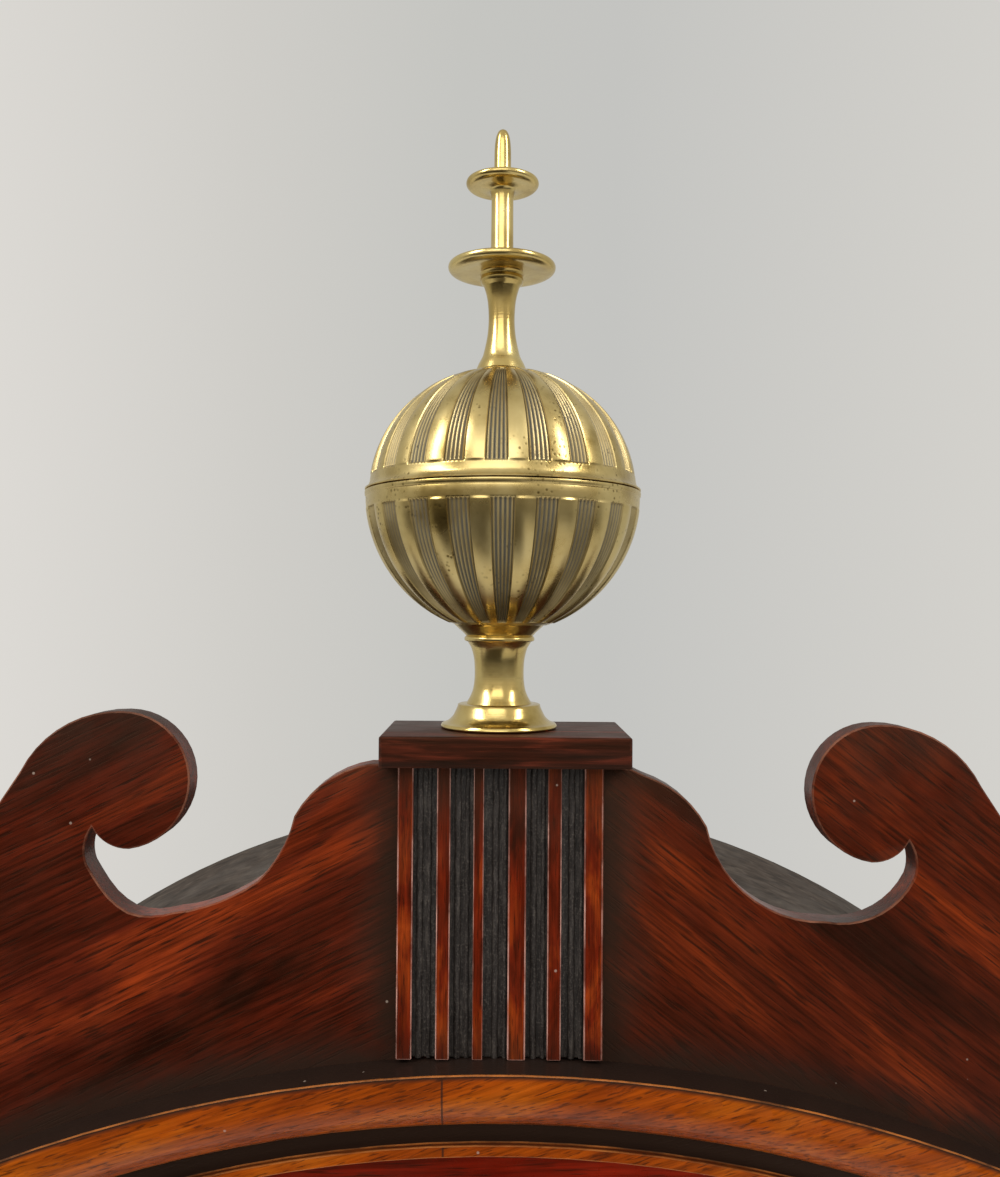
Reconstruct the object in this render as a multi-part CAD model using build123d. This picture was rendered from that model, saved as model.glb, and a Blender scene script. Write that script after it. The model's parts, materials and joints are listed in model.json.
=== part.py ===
from build123d import *
from math import asin, atan2, cos, degrees, hypot, pi, radians, sin, sqrt
import os

# An eight-day longcase clock of about 1800. Millimetres, +Z up, the front looks along -Y.
# The origin is on the floor, in the middle of the clock's width and depth.

# Case, from the floor up
case_depth = 250.0
skirting_height = 95.0
skirting_proud = 12.0
base_inset = 21.0
base_height = 520.0
base_moulding_height = 42.0
trunk_inset = 63.0
trunk_setback = 70.0
trunk_height = 770.0
throat_height = 58.0
throat_inset = 3.0
board = 18.0
back_board = 12.0
floor_gap = 12.0
corner_gap = 24.0

# Trunk door
trunk_stile = 54.0
trunk_bottom_rail = 40.0
trunk_door_height = 690.0
trunk_door_arch = 92.0
trunk_door_rise = 82.0
trunk_door_proud = 2.0
door_gap = 2.0
hinge_length = 60.0
hinge_inset = 90.0
leaf_width = 14.0
leaf_thick = 1.2
knuckle_radius = 2.6
hinge_pin_radius = 1.1
knuckle_gap = 0.4
key_plate_height = 46.0
key_plate_width = 24.0
key_plate_thick = 1.2
keyhole_radius = 2.6

# Hood
hood_width = 482.0
hood_base_height = 35.0
hood_rail = 38.0
hood_side = 20.0
mask_thick = 11.5
rest_gap = 0.3
running = 0.05
side_stile = 42.0
side_bottom_rail = 50.0
side_top_rail = 74.0
side_glass = 2.0
runner_height = 14.0

# Hood door
hood_door_rail = 34.0
hood_door_thick = 18.0
hood_door_inset = 2.0
door_arch_rail = 30.0
door_glass = 2.0
door_glass_inset = 8.0
door_back_round = 12.0
pivot_inset = 6.0
pivot_radius = 1.6
pivot_length = 9.0
pivot_plate = 40.0
pivot_plate_thick = 2.0
knob_radius = 6.0
knob_reach = 9.0
knob_inset = 16.0

# Arched cornice and what stands on it
arch_radius = 285.0
arch_half_span = 205.0
moulding_proud = 9.2
moulding_height = 18.9
moulding_round = 11.3
moulding_hollow = 16.5
frieze_at_crown = 33.0
roof_above_ledge = 8.5
roof_thick = 5.0
pediment_thick = 6.2
pediment_lap = 6.0
plinth_width = 42.0
plinth_height = 59.5
plinth_proud = 2.5
plinth_depth = 28.8
fillet_width = 3.1
fillet_count = 6
flute_depth = 1.6
cap_width = 51.6
cap_depth = 32.0
cap_height = 6.3
finial_setback = 21.5

# Columns
column_radius = 12.0
column_inset = 3.0
column_base_height = 16.0
column_cap_height = 20.0

# Finial, heights from the underside of its foot
foot_radius = 12.6
foot_waist = 5.35
foot_height = 23.6
collar_radius = 10.3
ball_radius = 29.8
ball_height = 50.5
dome_radius = 27.3
dome_offset = 1.73
seam_radius = 30.0
seam_thick = 1.3
ball_wall = 2.2
recess_count = 21
recess_share = 0.53
recess_depth = 0.7
big_disc_radius = 11.8
small_disc_radius = 8.0
disc_thick = 1.5
spire_height = 131.4

# Dial and hands
dial_width = 305.0
dial_arch = 122.0
dial_thick = 2.0
sight_lap = 5.0
dial_gap = 2.0
dial_foot_radius = 3.0
minute_hand_length = 118.0
hour_hand_length = 82.0
seconds_hand_length = 22.0
hand_thick = 1.0

# Movement, places measured from the middle of the dial
plate_width = 124.0
plate_top = 100.0
plate_bottom = 62.0
plate_thick = 3.0
plate_space = 60.0
plate_setback = 42.0
pillar_radius = 3.5
barrel_x = 42.5
barrel_drop = 12.0
barrel_radius = 26.0
barrel_length = 29.0
barrel_cap = 1.5
barrel_cap_radius = 31.0
barrel_arbor = 4.0
winding_square = 6.4
great_teeth = 96
strike_great_teeth = 84
great_module = 0.85
centre_teeth = 60
centre_module = 0.95
third_teeth = 56
third_module = 0.8
escape_teeth = 30
escape_radius = 20.0
pinion_leaves = 8
escape_pinion_leaves = 7
seconds_height = 55.0
wheel_thick = 2.2
arbor_radius = 2.0
pivot_pin = 1.2
cannon_teeth = 36
hour_teeth = 72
motion_pinion_leaves = 6
motion_module = 0.8
motion_stud = 0.9
motion_angle = 225.0
pipe_wall = 1.5
anchor_height = 85.0
pallet_gap = 1.6
cock_reach = 10.0

# Bell and hammer
bell_radius = 44.0
bell_height = 26.0
bell_wall = 2.5
bell_x = -8.0
bell_y = 28.0
bell_lift = 8.0
hammer_gap = 2.0
hammer_radius = 5.0

# Pendulum
pendulum_length = 1000.0
pendulum_setback = 25.0
rod_radius = 2.2
bob_radius = 52.0
bob_thick = 22.0

# Weights
weight_radius = 27.0
weight_height = 190.0
weight_floor_gap = 45.0
pulley_radius = 22.0
pulley_rim = 3.0
pulley_thick = 7.0
pulley_lift = 44.0
line_radius = 0.8
line_gap = 0.15

# Places worked out from the sizes above
ball_overhang = seam_radius - finial_setback
back = (case_depth + ball_overhang) / 2
front = back - case_depth
frieze_front = front + moulding_proud
hood_half = hood_width / 2
trunk_half = hood_half - trunk_inset
base_half = hood_half - base_inset
trunk_front = front + trunk_setback
throat_reach = trunk_inset - throat_inset
base_front = trunk_front - (base_half - trunk_half)
inner_back = back - back_board
trunk_inner = trunk_half - board
base_inner = base_half - board
trunk_bottom = base_height + base_moulding_height
throat_bottom = trunk_bottom + trunk_height
hood_bottom = throat_bottom + throat_height
hood_floor = hood_bottom + hood_base_height
door_front = frieze_front + hood_door_inset
mask_front = door_front + hood_door_thick + rest_gap
mask_back = mask_front + mask_thick
hood_inner = hood_half - hood_rail
side_outer = hood_inner + hood_side
dial_half = dial_width / 2
sight_half = dial_half - sight_lap
door_half = sight_half + hood_door_rail
sight_bottom = hood_floor + door_gap + hood_door_rail
dial_bottom = sight_bottom - sight_lap
dial_z = dial_bottom + dial_half
dial_shoulder = dial_z + dial_half
sight_arch = dial_arch - sight_lap
door_arch = sight_arch + door_arch_rail
door_shoulder = dial_shoulder - sight_lap + hood_door_rail
frieze_bottom = door_shoulder + door_gap
crest = dial_shoulder + door_arch + door_gap + frieze_at_crown + moulding_height
arch_z = crest - arch_radius
shoulder = arch_z + sqrt(arch_radius ** 2 - arch_half_span ** 2)
roof_outer = arch_radius + roof_above_ledge
roof_inner = roof_outer - roof_thick
pediment_back = frieze_front + pediment_thick
finial_y = front + finial_setback
seat_top = dial_z - plate_bottom
plate_front = mask_back + dial_gap + dial_thick + plate_setback
plate_rear = plate_front + plate_thick + plate_space
movement_back = plate_rear + plate_thick
dial_front = mask_back + dial_gap
dial_back = dial_front + dial_thick
barrel_z = dial_z - barrel_drop
barrel_mid = plate_front + plate_thick + plate_space / 2
barrel_y0 = barrel_mid - barrel_length / 2
barrel_y1 = barrel_mid + barrel_length / 2
pendulum_y = movement_back + pendulum_setback
swing_z = dial_z + anchor_height
line_path = barrel_radius + line_radius + line_gap
pulley_path = pulley_radius + line_radius + line_gap
pulley_z = floor_gap + board + weight_floor_gap + weight_height + pulley_lift


def block(x0, x1, y0, y1, z0, z1):
    size = (abs(x1 - x0), y1 - y0, z1 - z0)
    return Pos((x0 + x1) / 2, (y0 + y1) / 2, (z0 + z1) / 2) * Box(*size)


def outline(start, *moves):
    """A closed face. A move is a point for a line, or (through, end) for an arc."""
    edges = []
    here = start
    for move in moves:
        if isinstance(move[0], tuple):
            through, there = move
            edges.append(ThreePointArc(here, through, there))
        else:
            there = move
            edges.append(Line(here, there))
        here = there
    if hypot(here[0] - start[0], here[1] - start[1]) > 1e-6:
        edges.append(Line(here, start))
    return make_face(edges)


def slab(face, y0, y1):
    """A face drawn in X and Z, thick from y0 to y1."""
    return extrude(Plane.XZ.offset(-y1) * face, amount=y1 - y0, dir=(0, -1, 0))


def arbor(x, z, radius, y0, y1):
    return slab(Pos(x, z) * Circle(radius), y0, y1)


def turned(face, x, y, z):
    """A face of radius and height, turned about an upright axis."""
    return Pos(x, y, z) * revolve(Plane.XZ * face, axis=Axis.Z)


def turned_along_y(face, x, y, z):
    """A face of radius and depth, turned about an axis from front to back."""
    return Pos(x, y, z) * (Rot(-90, 0, 0) * revolve(Plane.XZ * face, axis=Axis.Z))


def both_sides(piece):
    return [piece, mirror(piece, about=Plane.YZ)]


def three_sides(profile, half, front_y, back_y, reach, inside=0.0):
    """Mitred lengths of one profile round the front and sides of a case.
    The profile is drawn as distance out from the case, and height."""
    across = Plane(origin=(0, front_y, 0), x_dir=(0, -1, 0), z_dir=(-1, 0, 0))
    along = Plane(origin=(half, back_y, 0), x_dir=(1, 0, 0), z_dir=(0, -1, 0))
    front_run = extrude(across * profile, amount=half + reach, both=True)
    side_run = extrude(along * profile, amount=back_y - front_y + reach, dir=(0, -1, 0))
    box = profile.bounding_box()
    z0 = box.min.Y - 1
    tall = box.max.Y - box.min.Y + 2
    wide = half + reach
    tip = front_y - reach
    root = half - inside
    root_y = front_y + inside
    front_plan = Polygon((-wide, tip), (wide, tip), (root, root_y), (-root, root_y), align=None)
    side_plan = Polygon((root, root_y), (wide, tip), (wide, back_y), (root, back_y), align=None)
    front_run &= extrude(Pos(0, 0, z0) * front_plan, amount=tall, dir=(0, 0, 1))
    side_run &= extrude(Pos(0, 0, z0) * side_plan, amount=tall, dir=(0, 0, 1))
    return [front_run] + both_sides(side_run)


def cornice_profile(top):
    """Round, hollow and bead of the cornice, hung from the height of its top."""
    return outline(
        (0, top),
        (moulding_proud, top),
        ((0.93 * moulding_proud, top - 0.6 * moulding_round), (0.6 * moulding_proud, top - moulding_round)),
        (0.3 * moulding_proud, top - moulding_round),
        (0.24 * moulding_proud, top - moulding_hollow),
        (0.38 * moulding_proud, top - moulding_hollow),
        (0.38 * moulding_proud, top - moulding_height),
        (0, top - moulding_height),
    )


def break_arch(half, bottom, step, arch, arch_middle):
    """A door or dial outline: a rectangle up to its step, with an arch above."""
    body = Pos(0, (bottom + step) / 2) * Rectangle(2 * half, step - bottom)
    return body + Pos(0, arch_middle) * Circle(arch) - Pos(0, bottom - arch) * Rectangle(2 * half, 2 * arch)


def toothed(teeth, module, turn, tip, root, flank):
    """A wheel's outline. Tip and root are in modules, flank in shares of the tooth pitch."""
    pitch = teeth * module / 2
    step = 2 * pi / teeth
    points = []
    for tooth in range(teeth):
        middle = turn + tooth * step
        for radius, width in ((root, -1.3), (tip, -0.5), (tip, 0.5), (root, 1.3)):
            angle = middle + width * flank * step / 2
            reach = pitch + radius * module
            points.append((reach * cos(angle), reach * sin(angle)))
    return Polygon(*points, align=None)


def wheel(teeth, module, x, z, y0, y1, hole, turn=0.0, arms=4):
    """A crossed-out brass wheel with short thin teeth."""
    pitch = teeth * module / 2
    rim = pitch - 4.2 * module
    hub = hole + 3.0
    face = toothed(teeth, module, turn, 0.7, -1.2, 0.34)
    for arm in range(arms):
        a0 = 2 * pi * arm / arms
        middle = a0 + pi / arms
        half_turn = pi / arms
        inner_cut = half_turn - 1.4 / hub * 0.8
        outer_cut = half_turn - 1.4 / rim
        face -= outline(
            (hub * cos(middle - inner_cut), hub * sin(middle - inner_cut)),
            (rim * cos(middle - outer_cut), rim * sin(middle - outer_cut)),
            ((rim * cos(middle), rim * sin(middle)),
             (rim * cos(middle + outer_cut), rim * sin(middle + outer_cut))),
            (hub * cos(middle + inner_cut), hub * sin(middle + inner_cut)),
            ((hub * cos(middle), hub * sin(middle)),
             (hub * cos(middle - inner_cut), hub * sin(middle - inner_cut))),
        )
    face -= Circle(hole)
    return slab(Pos(x, z) * face, y0, y1)


def pinion(leaves, module, x, z, y0, y1, turn=0.0):
    return slab(Pos(x, z) * toothed(leaves, module, turn, 0.5, -1.3, 0.26), y0, y1)


def bearing(x, z, radius):
    return x, z, radius + running


# Base
def skirting():
    profile = outline(
        (0, 0),
        (skirting_proud, 0),
        (skirting_proud, skirting_height - skirting_proud),
        ((0.72 * skirting_proud, skirting_height - 0.28 * skirting_proud), (0, skirting_height)),
    )
    return three_sides(profile, base_half, base_front, back, skirting_proud)


def base_front_panel():
    return [block(-base_half, base_half, base_front, base_front + board, 0, base_height)]


def base_sides():
    return both_sides(block(base_inner, base_half, base_front + board, back, 0, base_height))


def base_floor():
    return [block(-base_inner, base_inner, base_front + board, inner_back, floor_gap, floor_gap + board)]


def base_moulding():
    reach = base_half - trunk_half
    step = 0.14 * base_moulding_height
    profile = outline(
        (0, base_height),
        (reach, base_height),
        (reach, base_height + step),
        ((0.62 * reach, base_height + 0.5 * base_moulding_height), (0.22 * reach, trunk_bottom - step)),
        (0.12 * reach, trunk_bottom - step),
        (0.12 * reach, trunk_bottom),
        (0, trunk_bottom),
    )
    return three_sides(profile, trunk_half, trunk_front, back, reach)


# Trunk
def back_outline(x0, x1, z0):
    """A strip of the back, trimmed to the curve under the roof."""
    curve = Pos(0, arch_z) * Circle(roof_inner - rest_gap)
    strip = Pos((x0 + x1) / 2, (z0 + crest) / 2) * Rectangle(x1 - x0, crest - z0)
    below = Pos((x0 + x1) / 2, (z0 + arch_z) / 2) * Rectangle(x1 - x0, arch_z - z0)
    return (strip & curve) + below


def backboard():
    floor_top = floor_gap + board
    middle = slab(back_outline(-trunk_inner, trunk_inner, floor_top), inner_back, back)
    wing = slab(back_outline(trunk_inner, hood_inner - rest_gap, seat_top - board), inner_back, back)
    foot = block(trunk_inner, base_inner, inner_back, back, floor_top, base_height - corner_gap)
    return [middle] + both_sides(wing) + both_sides(foot)


def trunk_sides():
    low = base_height - corner_gap
    return both_sides(block(trunk_inner, trunk_half, trunk_front + board, back, low, seat_top - board))


def trunk_door_outline(spread):
    bottom = trunk_bottom + trunk_bottom_rail - spread
    top = trunk_bottom + trunk_bottom_rail + trunk_door_height
    step = top - trunk_door_rise
    half = trunk_half - trunk_stile + spread
    return break_arch(half, bottom, step + spread, trunk_door_arch + spread, top - trunk_door_arch)


def hinge_heights():
    bottom = trunk_bottom + trunk_bottom_rail
    step = bottom + trunk_door_height - trunk_door_rise
    return bottom + hinge_inset, step - hinge_inset


def hinge_axis():
    return trunk_half - trunk_stile - door_gap / 2, trunk_front - trunk_door_proud - knuckle_radius - 0.1


def trunk_leaf(outer, middle):
    """The flat leaf of a hinge, let into the edge of the door or of the stile."""
    edge = trunk_half - trunk_stile - (0 if outer else door_gap)
    x0, x1 = (edge, edge + leaf_thick) if outer else (edge - leaf_thick, edge)
    y0 = hinge_axis()[1]
    return block(x0, x1, y0, y0 + leaf_width, middle - hinge_length / 2, middle + hinge_length / 2)


def knuckles(outer, middle):
    """A leaf's share of the knuckle: the middle third if it is fixed, else the two ends."""
    x, y = hinge_axis()
    third = hinge_length / 3
    spans = [(-third / 2, third / 2)] if outer else [(-1.5 * third, -third / 2), (third / 2, 1.5 * third)]
    solids = []
    for low, high in spans:
        low_end = middle + low + knuckle_gap / 2
        tall = high - low - knuckle_gap
        tube = Cylinder(knuckle_radius, tall) - Cylinder(hinge_pin_radius + running, tall)
        solids.append(Pos(x, y, low_end + tall / 2) * tube)
    return solids


def trunk_hinge(outer, middle):
    x, y = hinge_axis()
    other = knuckles(not outer, middle)
    leaf = trunk_leaf(outer, middle)
    room = hinge_length / 3 + knuckle_gap
    swept = Cylinder(knuckle_radius + rest_gap, room)
    third = hinge_length / 3
    places = [0] if not outer else [-third, third]
    for place in places:
        leaf -= Pos(x, y, middle + place) * swept
    leaf -= Pos(x, y, middle) * Cylinder(hinge_pin_radius + running, hinge_length)
    for tube in knuckles(outer, middle):
        leaf += tube
    return leaf


def trunk_front_frame():
    half = trunk_half
    inner = trunk_half - trunk_stile
    back_face = trunk_front + board
    low = base_height - corner_gap
    step = trunk_bottom + trunk_bottom_rail + trunk_door_height - trunk_door_rise
    stile = block(inner, half, trunk_front, back_face, low, step)
    for middle in hinge_heights():
        stile -= trunk_leaf(True, middle)
    left = block(-half, -inner, trunk_front, back_face, low, step)
    bottom = block(-inner, inner, trunk_front, back_face, low, trunk_bottom + trunk_bottom_rail)
    head = Pos(0, (step + hood_bottom) / 2) * Rectangle(2 * half, hood_bottom - step)
    top = slab(head - trunk_door_outline(0), trunk_front, back_face)
    return [stile, left, bottom, top]


def throat_moulding():
    step = 0.16 * throat_height
    profile = outline(
        (0, throat_bottom),
        (0.12 * throat_reach, throat_bottom),
        (0.12 * throat_reach, throat_bottom + step),
        ((0.38 * throat_reach, throat_bottom + 0.62 * throat_height), (0.9 * throat_reach, hood_bottom - step)),
        (throat_reach, hood_bottom - step),
        (throat_reach, hood_bottom),
        (0, hood_bottom),
    )
    return three_sides(profile, trunk_half, trunk_front, back, throat_reach)


def line_places():
    """X of each weight's falling line and of the line that is tied to the seatboard."""
    for middle in (barrel_x, -barrel_x):
        falling = middle - line_path
        yield falling, falling + 2 * pulley_path


def seatboard():
    seat = block(-trunk_half, trunk_half, trunk_front + board / 3, movement_back + 8, seat_top - board, seat_top)
    for falling, tied in line_places():
        seat -= Pos(falling, barrel_mid, seat_top - board / 2) * Box(8, 34, board)
        seat -= Pos(tied, barrel_mid, seat_top - board / 2) * Cylinder(line_radius + line_gap, board)
    return [seat]


def hood_runners():
    return both_sides(
        block(trunk_half, hood_inner - rest_gap, trunk_front, inner_back, hood_bottom, hood_bottom + runner_height)
    )


def trunk_hinge_leaves():
    return [trunk_hinge(True, middle) for middle in hinge_heights()]


def trunk_door():
    face = trunk_front - trunk_door_proud
    door = slab(trunk_door_outline(-door_gap), face, face + board)
    for middle in hinge_heights():
        door -= trunk_leaf(False, middle)
    x, z = key_place()
    door -= arbor(x, z, keyhole_radius, face, face + board)
    return [door]


def key_place():
    bottom = trunk_bottom + trunk_bottom_rail
    return -(trunk_half - trunk_stile - key_plate_width), bottom + 0.56 * trunk_door_height


def trunk_door_hinges():
    x, y = hinge_axis()
    solids = []
    for middle in hinge_heights():
        solids.append(trunk_hinge(False, middle))
        solids.append(Pos(x, y, middle) * Cylinder(hinge_pin_radius, hinge_length))
    return solids


def key_plate():
    """An oval plate round the keyhole of the trunk door."""
    x, z = key_place()
    face = trunk_front - trunk_door_proud
    plate = Pos(x, z) * (Ellipse(key_plate_width / 2, key_plate_height / 2) - Circle(keyhole_radius))
    plate -= Pos(x, z - 2.4 * keyhole_radius) * Rectangle(keyhole_radius, 4 * keyhole_radius)
    return [slab(plate, face - key_plate_thick, face)]


# Hood
def hood_base_frame():
    nose = 0.24 * hood_base_height
    profile = outline(
        (-hood_rail, hood_bottom),
        (0, hood_bottom),
        (0, hood_floor - nose),
        ((-0.3 * nose, hood_floor - 0.3 * nose), (-nose, hood_floor)),
        (-hood_rail, hood_floor),
    )
    runs = three_sides(profile, hood_half, frieze_front, back, 0.0, hood_rail)
    x, y = pivot_place()
    runs[0] -= Pos(x, y, hood_floor - pivot_length / 2) * Cylinder(pivot_radius + running, pivot_length)
    return runs


def pivot_place():
    return door_half - pivot_inset, door_front + pivot_inset


def mask_frame():
    """The fixed frame behind the hood door, which closes round the dial."""
    sight = sight_half + 1
    half = side_outer - hood_side / 2
    step = dial_shoulder - sight_lap + 1
    stile = block(sight, half, mask_front, mask_back, hood_floor, step)
    bottom = block(-sight, sight, mask_front, mask_back, hood_floor, sight_bottom - 1)
    head = Pos(0, (step + shoulder - pediment_lap) / 2) * Rectangle(2 * half, shoulder - pediment_lap - step)
    head += Pos(0, arch_z) * Circle(arch_radius - moulding_height) - Pos(0, arch_z - half) * Rectangle(
        4 * half, 2 * half + 2 * (shoulder - pediment_lap - arch_z))
    head -= Pos(0, dial_shoulder) * Circle(sight_arch + 1)
    return both_sides(stile) + [bottom, slab(head, mask_front, mask_back)]


def hood_sides():
    x0, x1 = hood_inner, side_outer
    low, high = window_heights()
    y0, y1 = window_depths()
    solids = []
    for piece in (
        block(x0, x1, mask_back, y0, hood_floor, shoulder),
        block(x0, x1, y1, back, hood_floor, shoulder),
        block(x0, x1, y0, y1, hood_floor, low),
        block(x0, x1, y0, y1, high, shoulder),
    ):
        solids += both_sides(piece)
    return solids


def window_heights():
    return hood_floor + side_bottom_rail, shoulder - side_top_rail


def window_depths():
    return mask_back + side_stile, back - side_stile


def hood_side_glass():
    low, high = window_heights()
    y0, y1 = window_depths()
    middle = hood_inner + hood_side / 2
    return both_sides(block(middle - side_glass / 2, middle + side_glass / 2, y0, y1, low, high))


def under_arch(radius, drop):
    """The hood's front outline: an arch with level shoulders, from the frieze bottom up."""
    level = shoulder - drop
    curve = Pos(0, arch_z) * Circle(radius)
    curve -= Pos(0, level - radius) * Rectangle(2 * radius, 2 * radius)
    body = Pos(0, (frieze_bottom + level) / 2) * Rectangle(hood_width, level - frieze_bottom)
    return body + curve - Pos(0, dial_shoulder) * Circle(door_arch + door_gap)


def frieze():
    """Front board with the door's arch cut in it, rebated behind the pediment, and the side boards."""
    face = slab(under_arch(arch_radius - pediment_lap, pediment_lap), frieze_front, pediment_back)
    face += slab(under_arch(roof_inner, 0), pediment_back, mask_front)
    x, y = pivot_place()
    face -= Pos(x, y, frieze_bottom + pivot_length / 2) * Cylinder(pivot_radius + running, pivot_length)
    side = block(side_outer, hood_half, mask_front, back, frieze_bottom, shoulder)
    return [face] + both_sides(side)


def arch_end():
    """Angle of the arch's end from upright."""
    return asin(arch_half_span / arch_radius)


def mitre_side(face_y0, face_y1):
    """What lies past the mitre between the arch and its level shoulder, on the right."""
    turn = arch_end() / 2
    far = 2 * arch_radius
    x0, z0 = arch_half_span, shoulder
    along = (sin(turn), cos(turn))
    return slab(
        Polygon(
            (x0 - far * along[0], z0 - far * along[1]),
            (x0 + far * along[0], z0 + far * along[1]),
            (x0 + 2 * far, z0 + far * along[1]),
            (x0 + 2 * far, z0 - far * along[1]),
            align=None,
        ),
        face_y0,
        face_y1,
    )


def arch_moulding():
    """The curved length of the cornice."""
    section = Plane(origin=(0, frieze_front, arch_z), x_dir=(0, -1, 0), z_dir=(-1, 0, 0))
    sweep = 2 * degrees(arch_end()) + 12
    turn_axis = Axis((0, 0, arch_z), (0, 1, 0))
    start = section * cornice_profile(arch_radius)
    length = revolve(start.rotate(turn_axis, -sweep / 2), axis=turn_axis, revolution_arc=sweep)
    past = mitre_side(front - 1, frieze_front + 1)
    length -= past
    length -= mirror(past, about=Plane.YZ)
    return [length]


def cornice_returns():
    """The level shoulders and the two sides of the cornice."""
    runs = three_sides(cornice_profile(shoulder), hood_half, frieze_front, back, moulding_proud)
    right = runs[0] & mitre_side(front - 1, frieze_front + 1)
    return both_sides(right) + runs[1:]


def pediment_outline():
    """The right-hand board, as x and height over the crown of the arch's ledge."""
    half = plinth_width / 2
    end = hood_half - 5
    level = shoulder - crest
    lower = arch_radius - pediment_lap
    lap_z = level - pediment_lap
    foot_x = sqrt(lower ** 2 - (lap_z + arch_radius) ** 2)
    root_z = sqrt(lower ** 2 - half ** 2) - arch_radius
    mid_angle = (asin(half / lower) + asin(foot_x / lower)) / 2
    return outline(
        (half, plinth_height),
        (half + 6, plinth_height),
        ((36.5, 55.6), (42.6, 48.6)),
        ((50.0, 35.6), (67.0, 29.5)),
        ((79.2, 31.8), (85.2, 38.4)),
        ((85.7, 42.2), (84.3, 46.0)),
        ((80.9, 42.6), (76.6, 41.6)),
        ((64.2, 55.0), (78.4, 70.0)),
        ((90.6, 66.8), (99.3, 57.4)),
        (103.5, 51.0),
        ((163.0, -20.0), (end, level + 10)),
        (end, lap_z),
        (foot_x, lap_z),
        ((lower * sin(mid_angle), lower * cos(mid_angle) - arch_radius), (half, root_z)),
    )


def pediment_boards():
    right = slab(Pos(0, crest) * pediment_outline(), frieze_front, pediment_back)
    return both_sides(right)


def fluted_plinth():
    """The block between the scrolls, with flutes worked between flat fillets."""
    y0 = frieze_front - plinth_proud
    half = plinth_width / 2
    plinth = block(-half, half, y0, y0 + plinth_depth, crest, crest + plinth_height)
    pitch = (plinth_width - fillet_width) / (fillet_count - 1)
    flute = pitch - fillet_width
    for place in range(fillet_count - 1):
        x = -half + fillet_width + place * pitch
        plinth -= block(x, x + flute, y0, y0 + flute_depth, crest, crest + plinth_height)
    lower = slab(Pos(0, arch_z) * Circle(arch_radius), frieze_front, y0 + plinth_depth)
    root = block(-half, half, pediment_back, y0 + plinth_depth, crest - pediment_lap, crest)
    plinth += root & slab(Pos(0, arch_z) * (Circle(2 * roof_outer) - Circle(roof_outer)), front, back)
    return [plinth - slab(Pos(0, arch_z) * Circle(roof_outer), pediment_back, back) - lower]


def plinth_cap():
    y0 = finial_y - 18.0
    z0 = crest + plinth_height
    cap = block(-cap_width / 2, cap_width / 2, y0, y0 + cap_depth, z0, z0 + cap_height)
    return [fillet(cap.edges().filter_by(Axis.Z) + cap.edges().group_by(Axis.Z)[-1], 0.8)]


def hood_roof():
    """A bent thin board on the hood's sides and frieze, with a level strip at each side."""
    ring = Pos(0, arch_z) * (Circle(roof_outer) - Circle(roof_inner))
    ring -= Pos(0, shoulder - roof_outer) * Rectangle(2 * roof_outer, 2 * roof_outer)
    shell = slab(ring, pediment_back, back)
    edge = sqrt(roof_outer ** 2 - (shoulder - arch_z) ** 2)
    strip = block(edge, hood_half, pediment_back, back, shoulder, shoulder + roof_thick)
    return [shell] + both_sides(strip)


def column_place():
    return hood_half - column_radius - column_inset, frieze_front + column_radius + column_inset


def hood_columns():
    """Turned front columns, and flat pilasters at the back corners."""
    x, y = column_place()
    low = hood_floor + column_base_height
    high = frieze_bottom - column_cap_height
    r = column_radius
    tall = high - low
    face = outline(
        (0, 0),
        (r - 1, 0),
        ((r - 0.2, tall / 3), (r - 2.6, tall)),
        (0, tall),
    )
    shaft = turned(face, x, y, low)
    rear = block(side_outer, hood_half - column_inset, back - 1.8 * r, back - 4, hood_floor, frieze_bottom)
    return both_sides(shaft) + both_sides(rear)


def column_brasses():
    x, y = column_place()
    r = column_radius
    tall = column_base_height
    base = outline(
        (0, 0), (r + 2, 0), (r + 2, 0.3 * tall),
        ((r + 1.4, 0.45 * tall), (r - 0.2, 0.6 * tall)),
        ((r + 1, 0.75 * tall), (r - 0.4, 0.92 * tall)),
        (r - 0.4, tall), (0, tall),
    )
    tall = column_cap_height
    cap = outline(
        (0, 0), (r - 2, 0), (r - 1.2, 0.1 * tall), (r - 2, 0.2 * tall), (r - 2, 0.5 * tall),
        ((r - 0.6, 0.68 * tall), (r + 1.4, 0.76 * tall)),
        (r + 2, 0.76 * tall), (r + 2, tall), (0, tall),
    )
    low = turned(base, x, y, hood_floor)
    high = turned(cap, x, y, frieze_bottom - column_cap_height)
    return both_sides(low) + both_sides(high)


# Finial
def finial_base():
    return crest + plinth_height + cap_height


def finial_foot():
    waist = foot_waist
    face = outline(
        (0, 0),
        (foot_radius, 0),
        (foot_radius, 0.7),
        ((11.6, 1.5), (9.8, 2.8)),
        ((9.2, 3.6), (9.0, 4.6)),
        (9.0, 5.3),
        (7.1, 5.4),
        ((waist, 0.51 * foot_height), (7.1, 0.8 * foot_height)),
        (7.6, 0.81 * foot_height),
        (7.6, 0.85 * foot_height),
        ((8.8, 0.93 * foot_height), (collar_radius, foot_height)),
        (collar_radius, foot_height + 1),
        (0, foot_height + 1),
    )
    foot = turned(face, 0, finial_y, finial_base())
    return [foot - Pos(0, finial_y, finial_base() + ball_height) * Sphere(ball_radius)]


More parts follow.
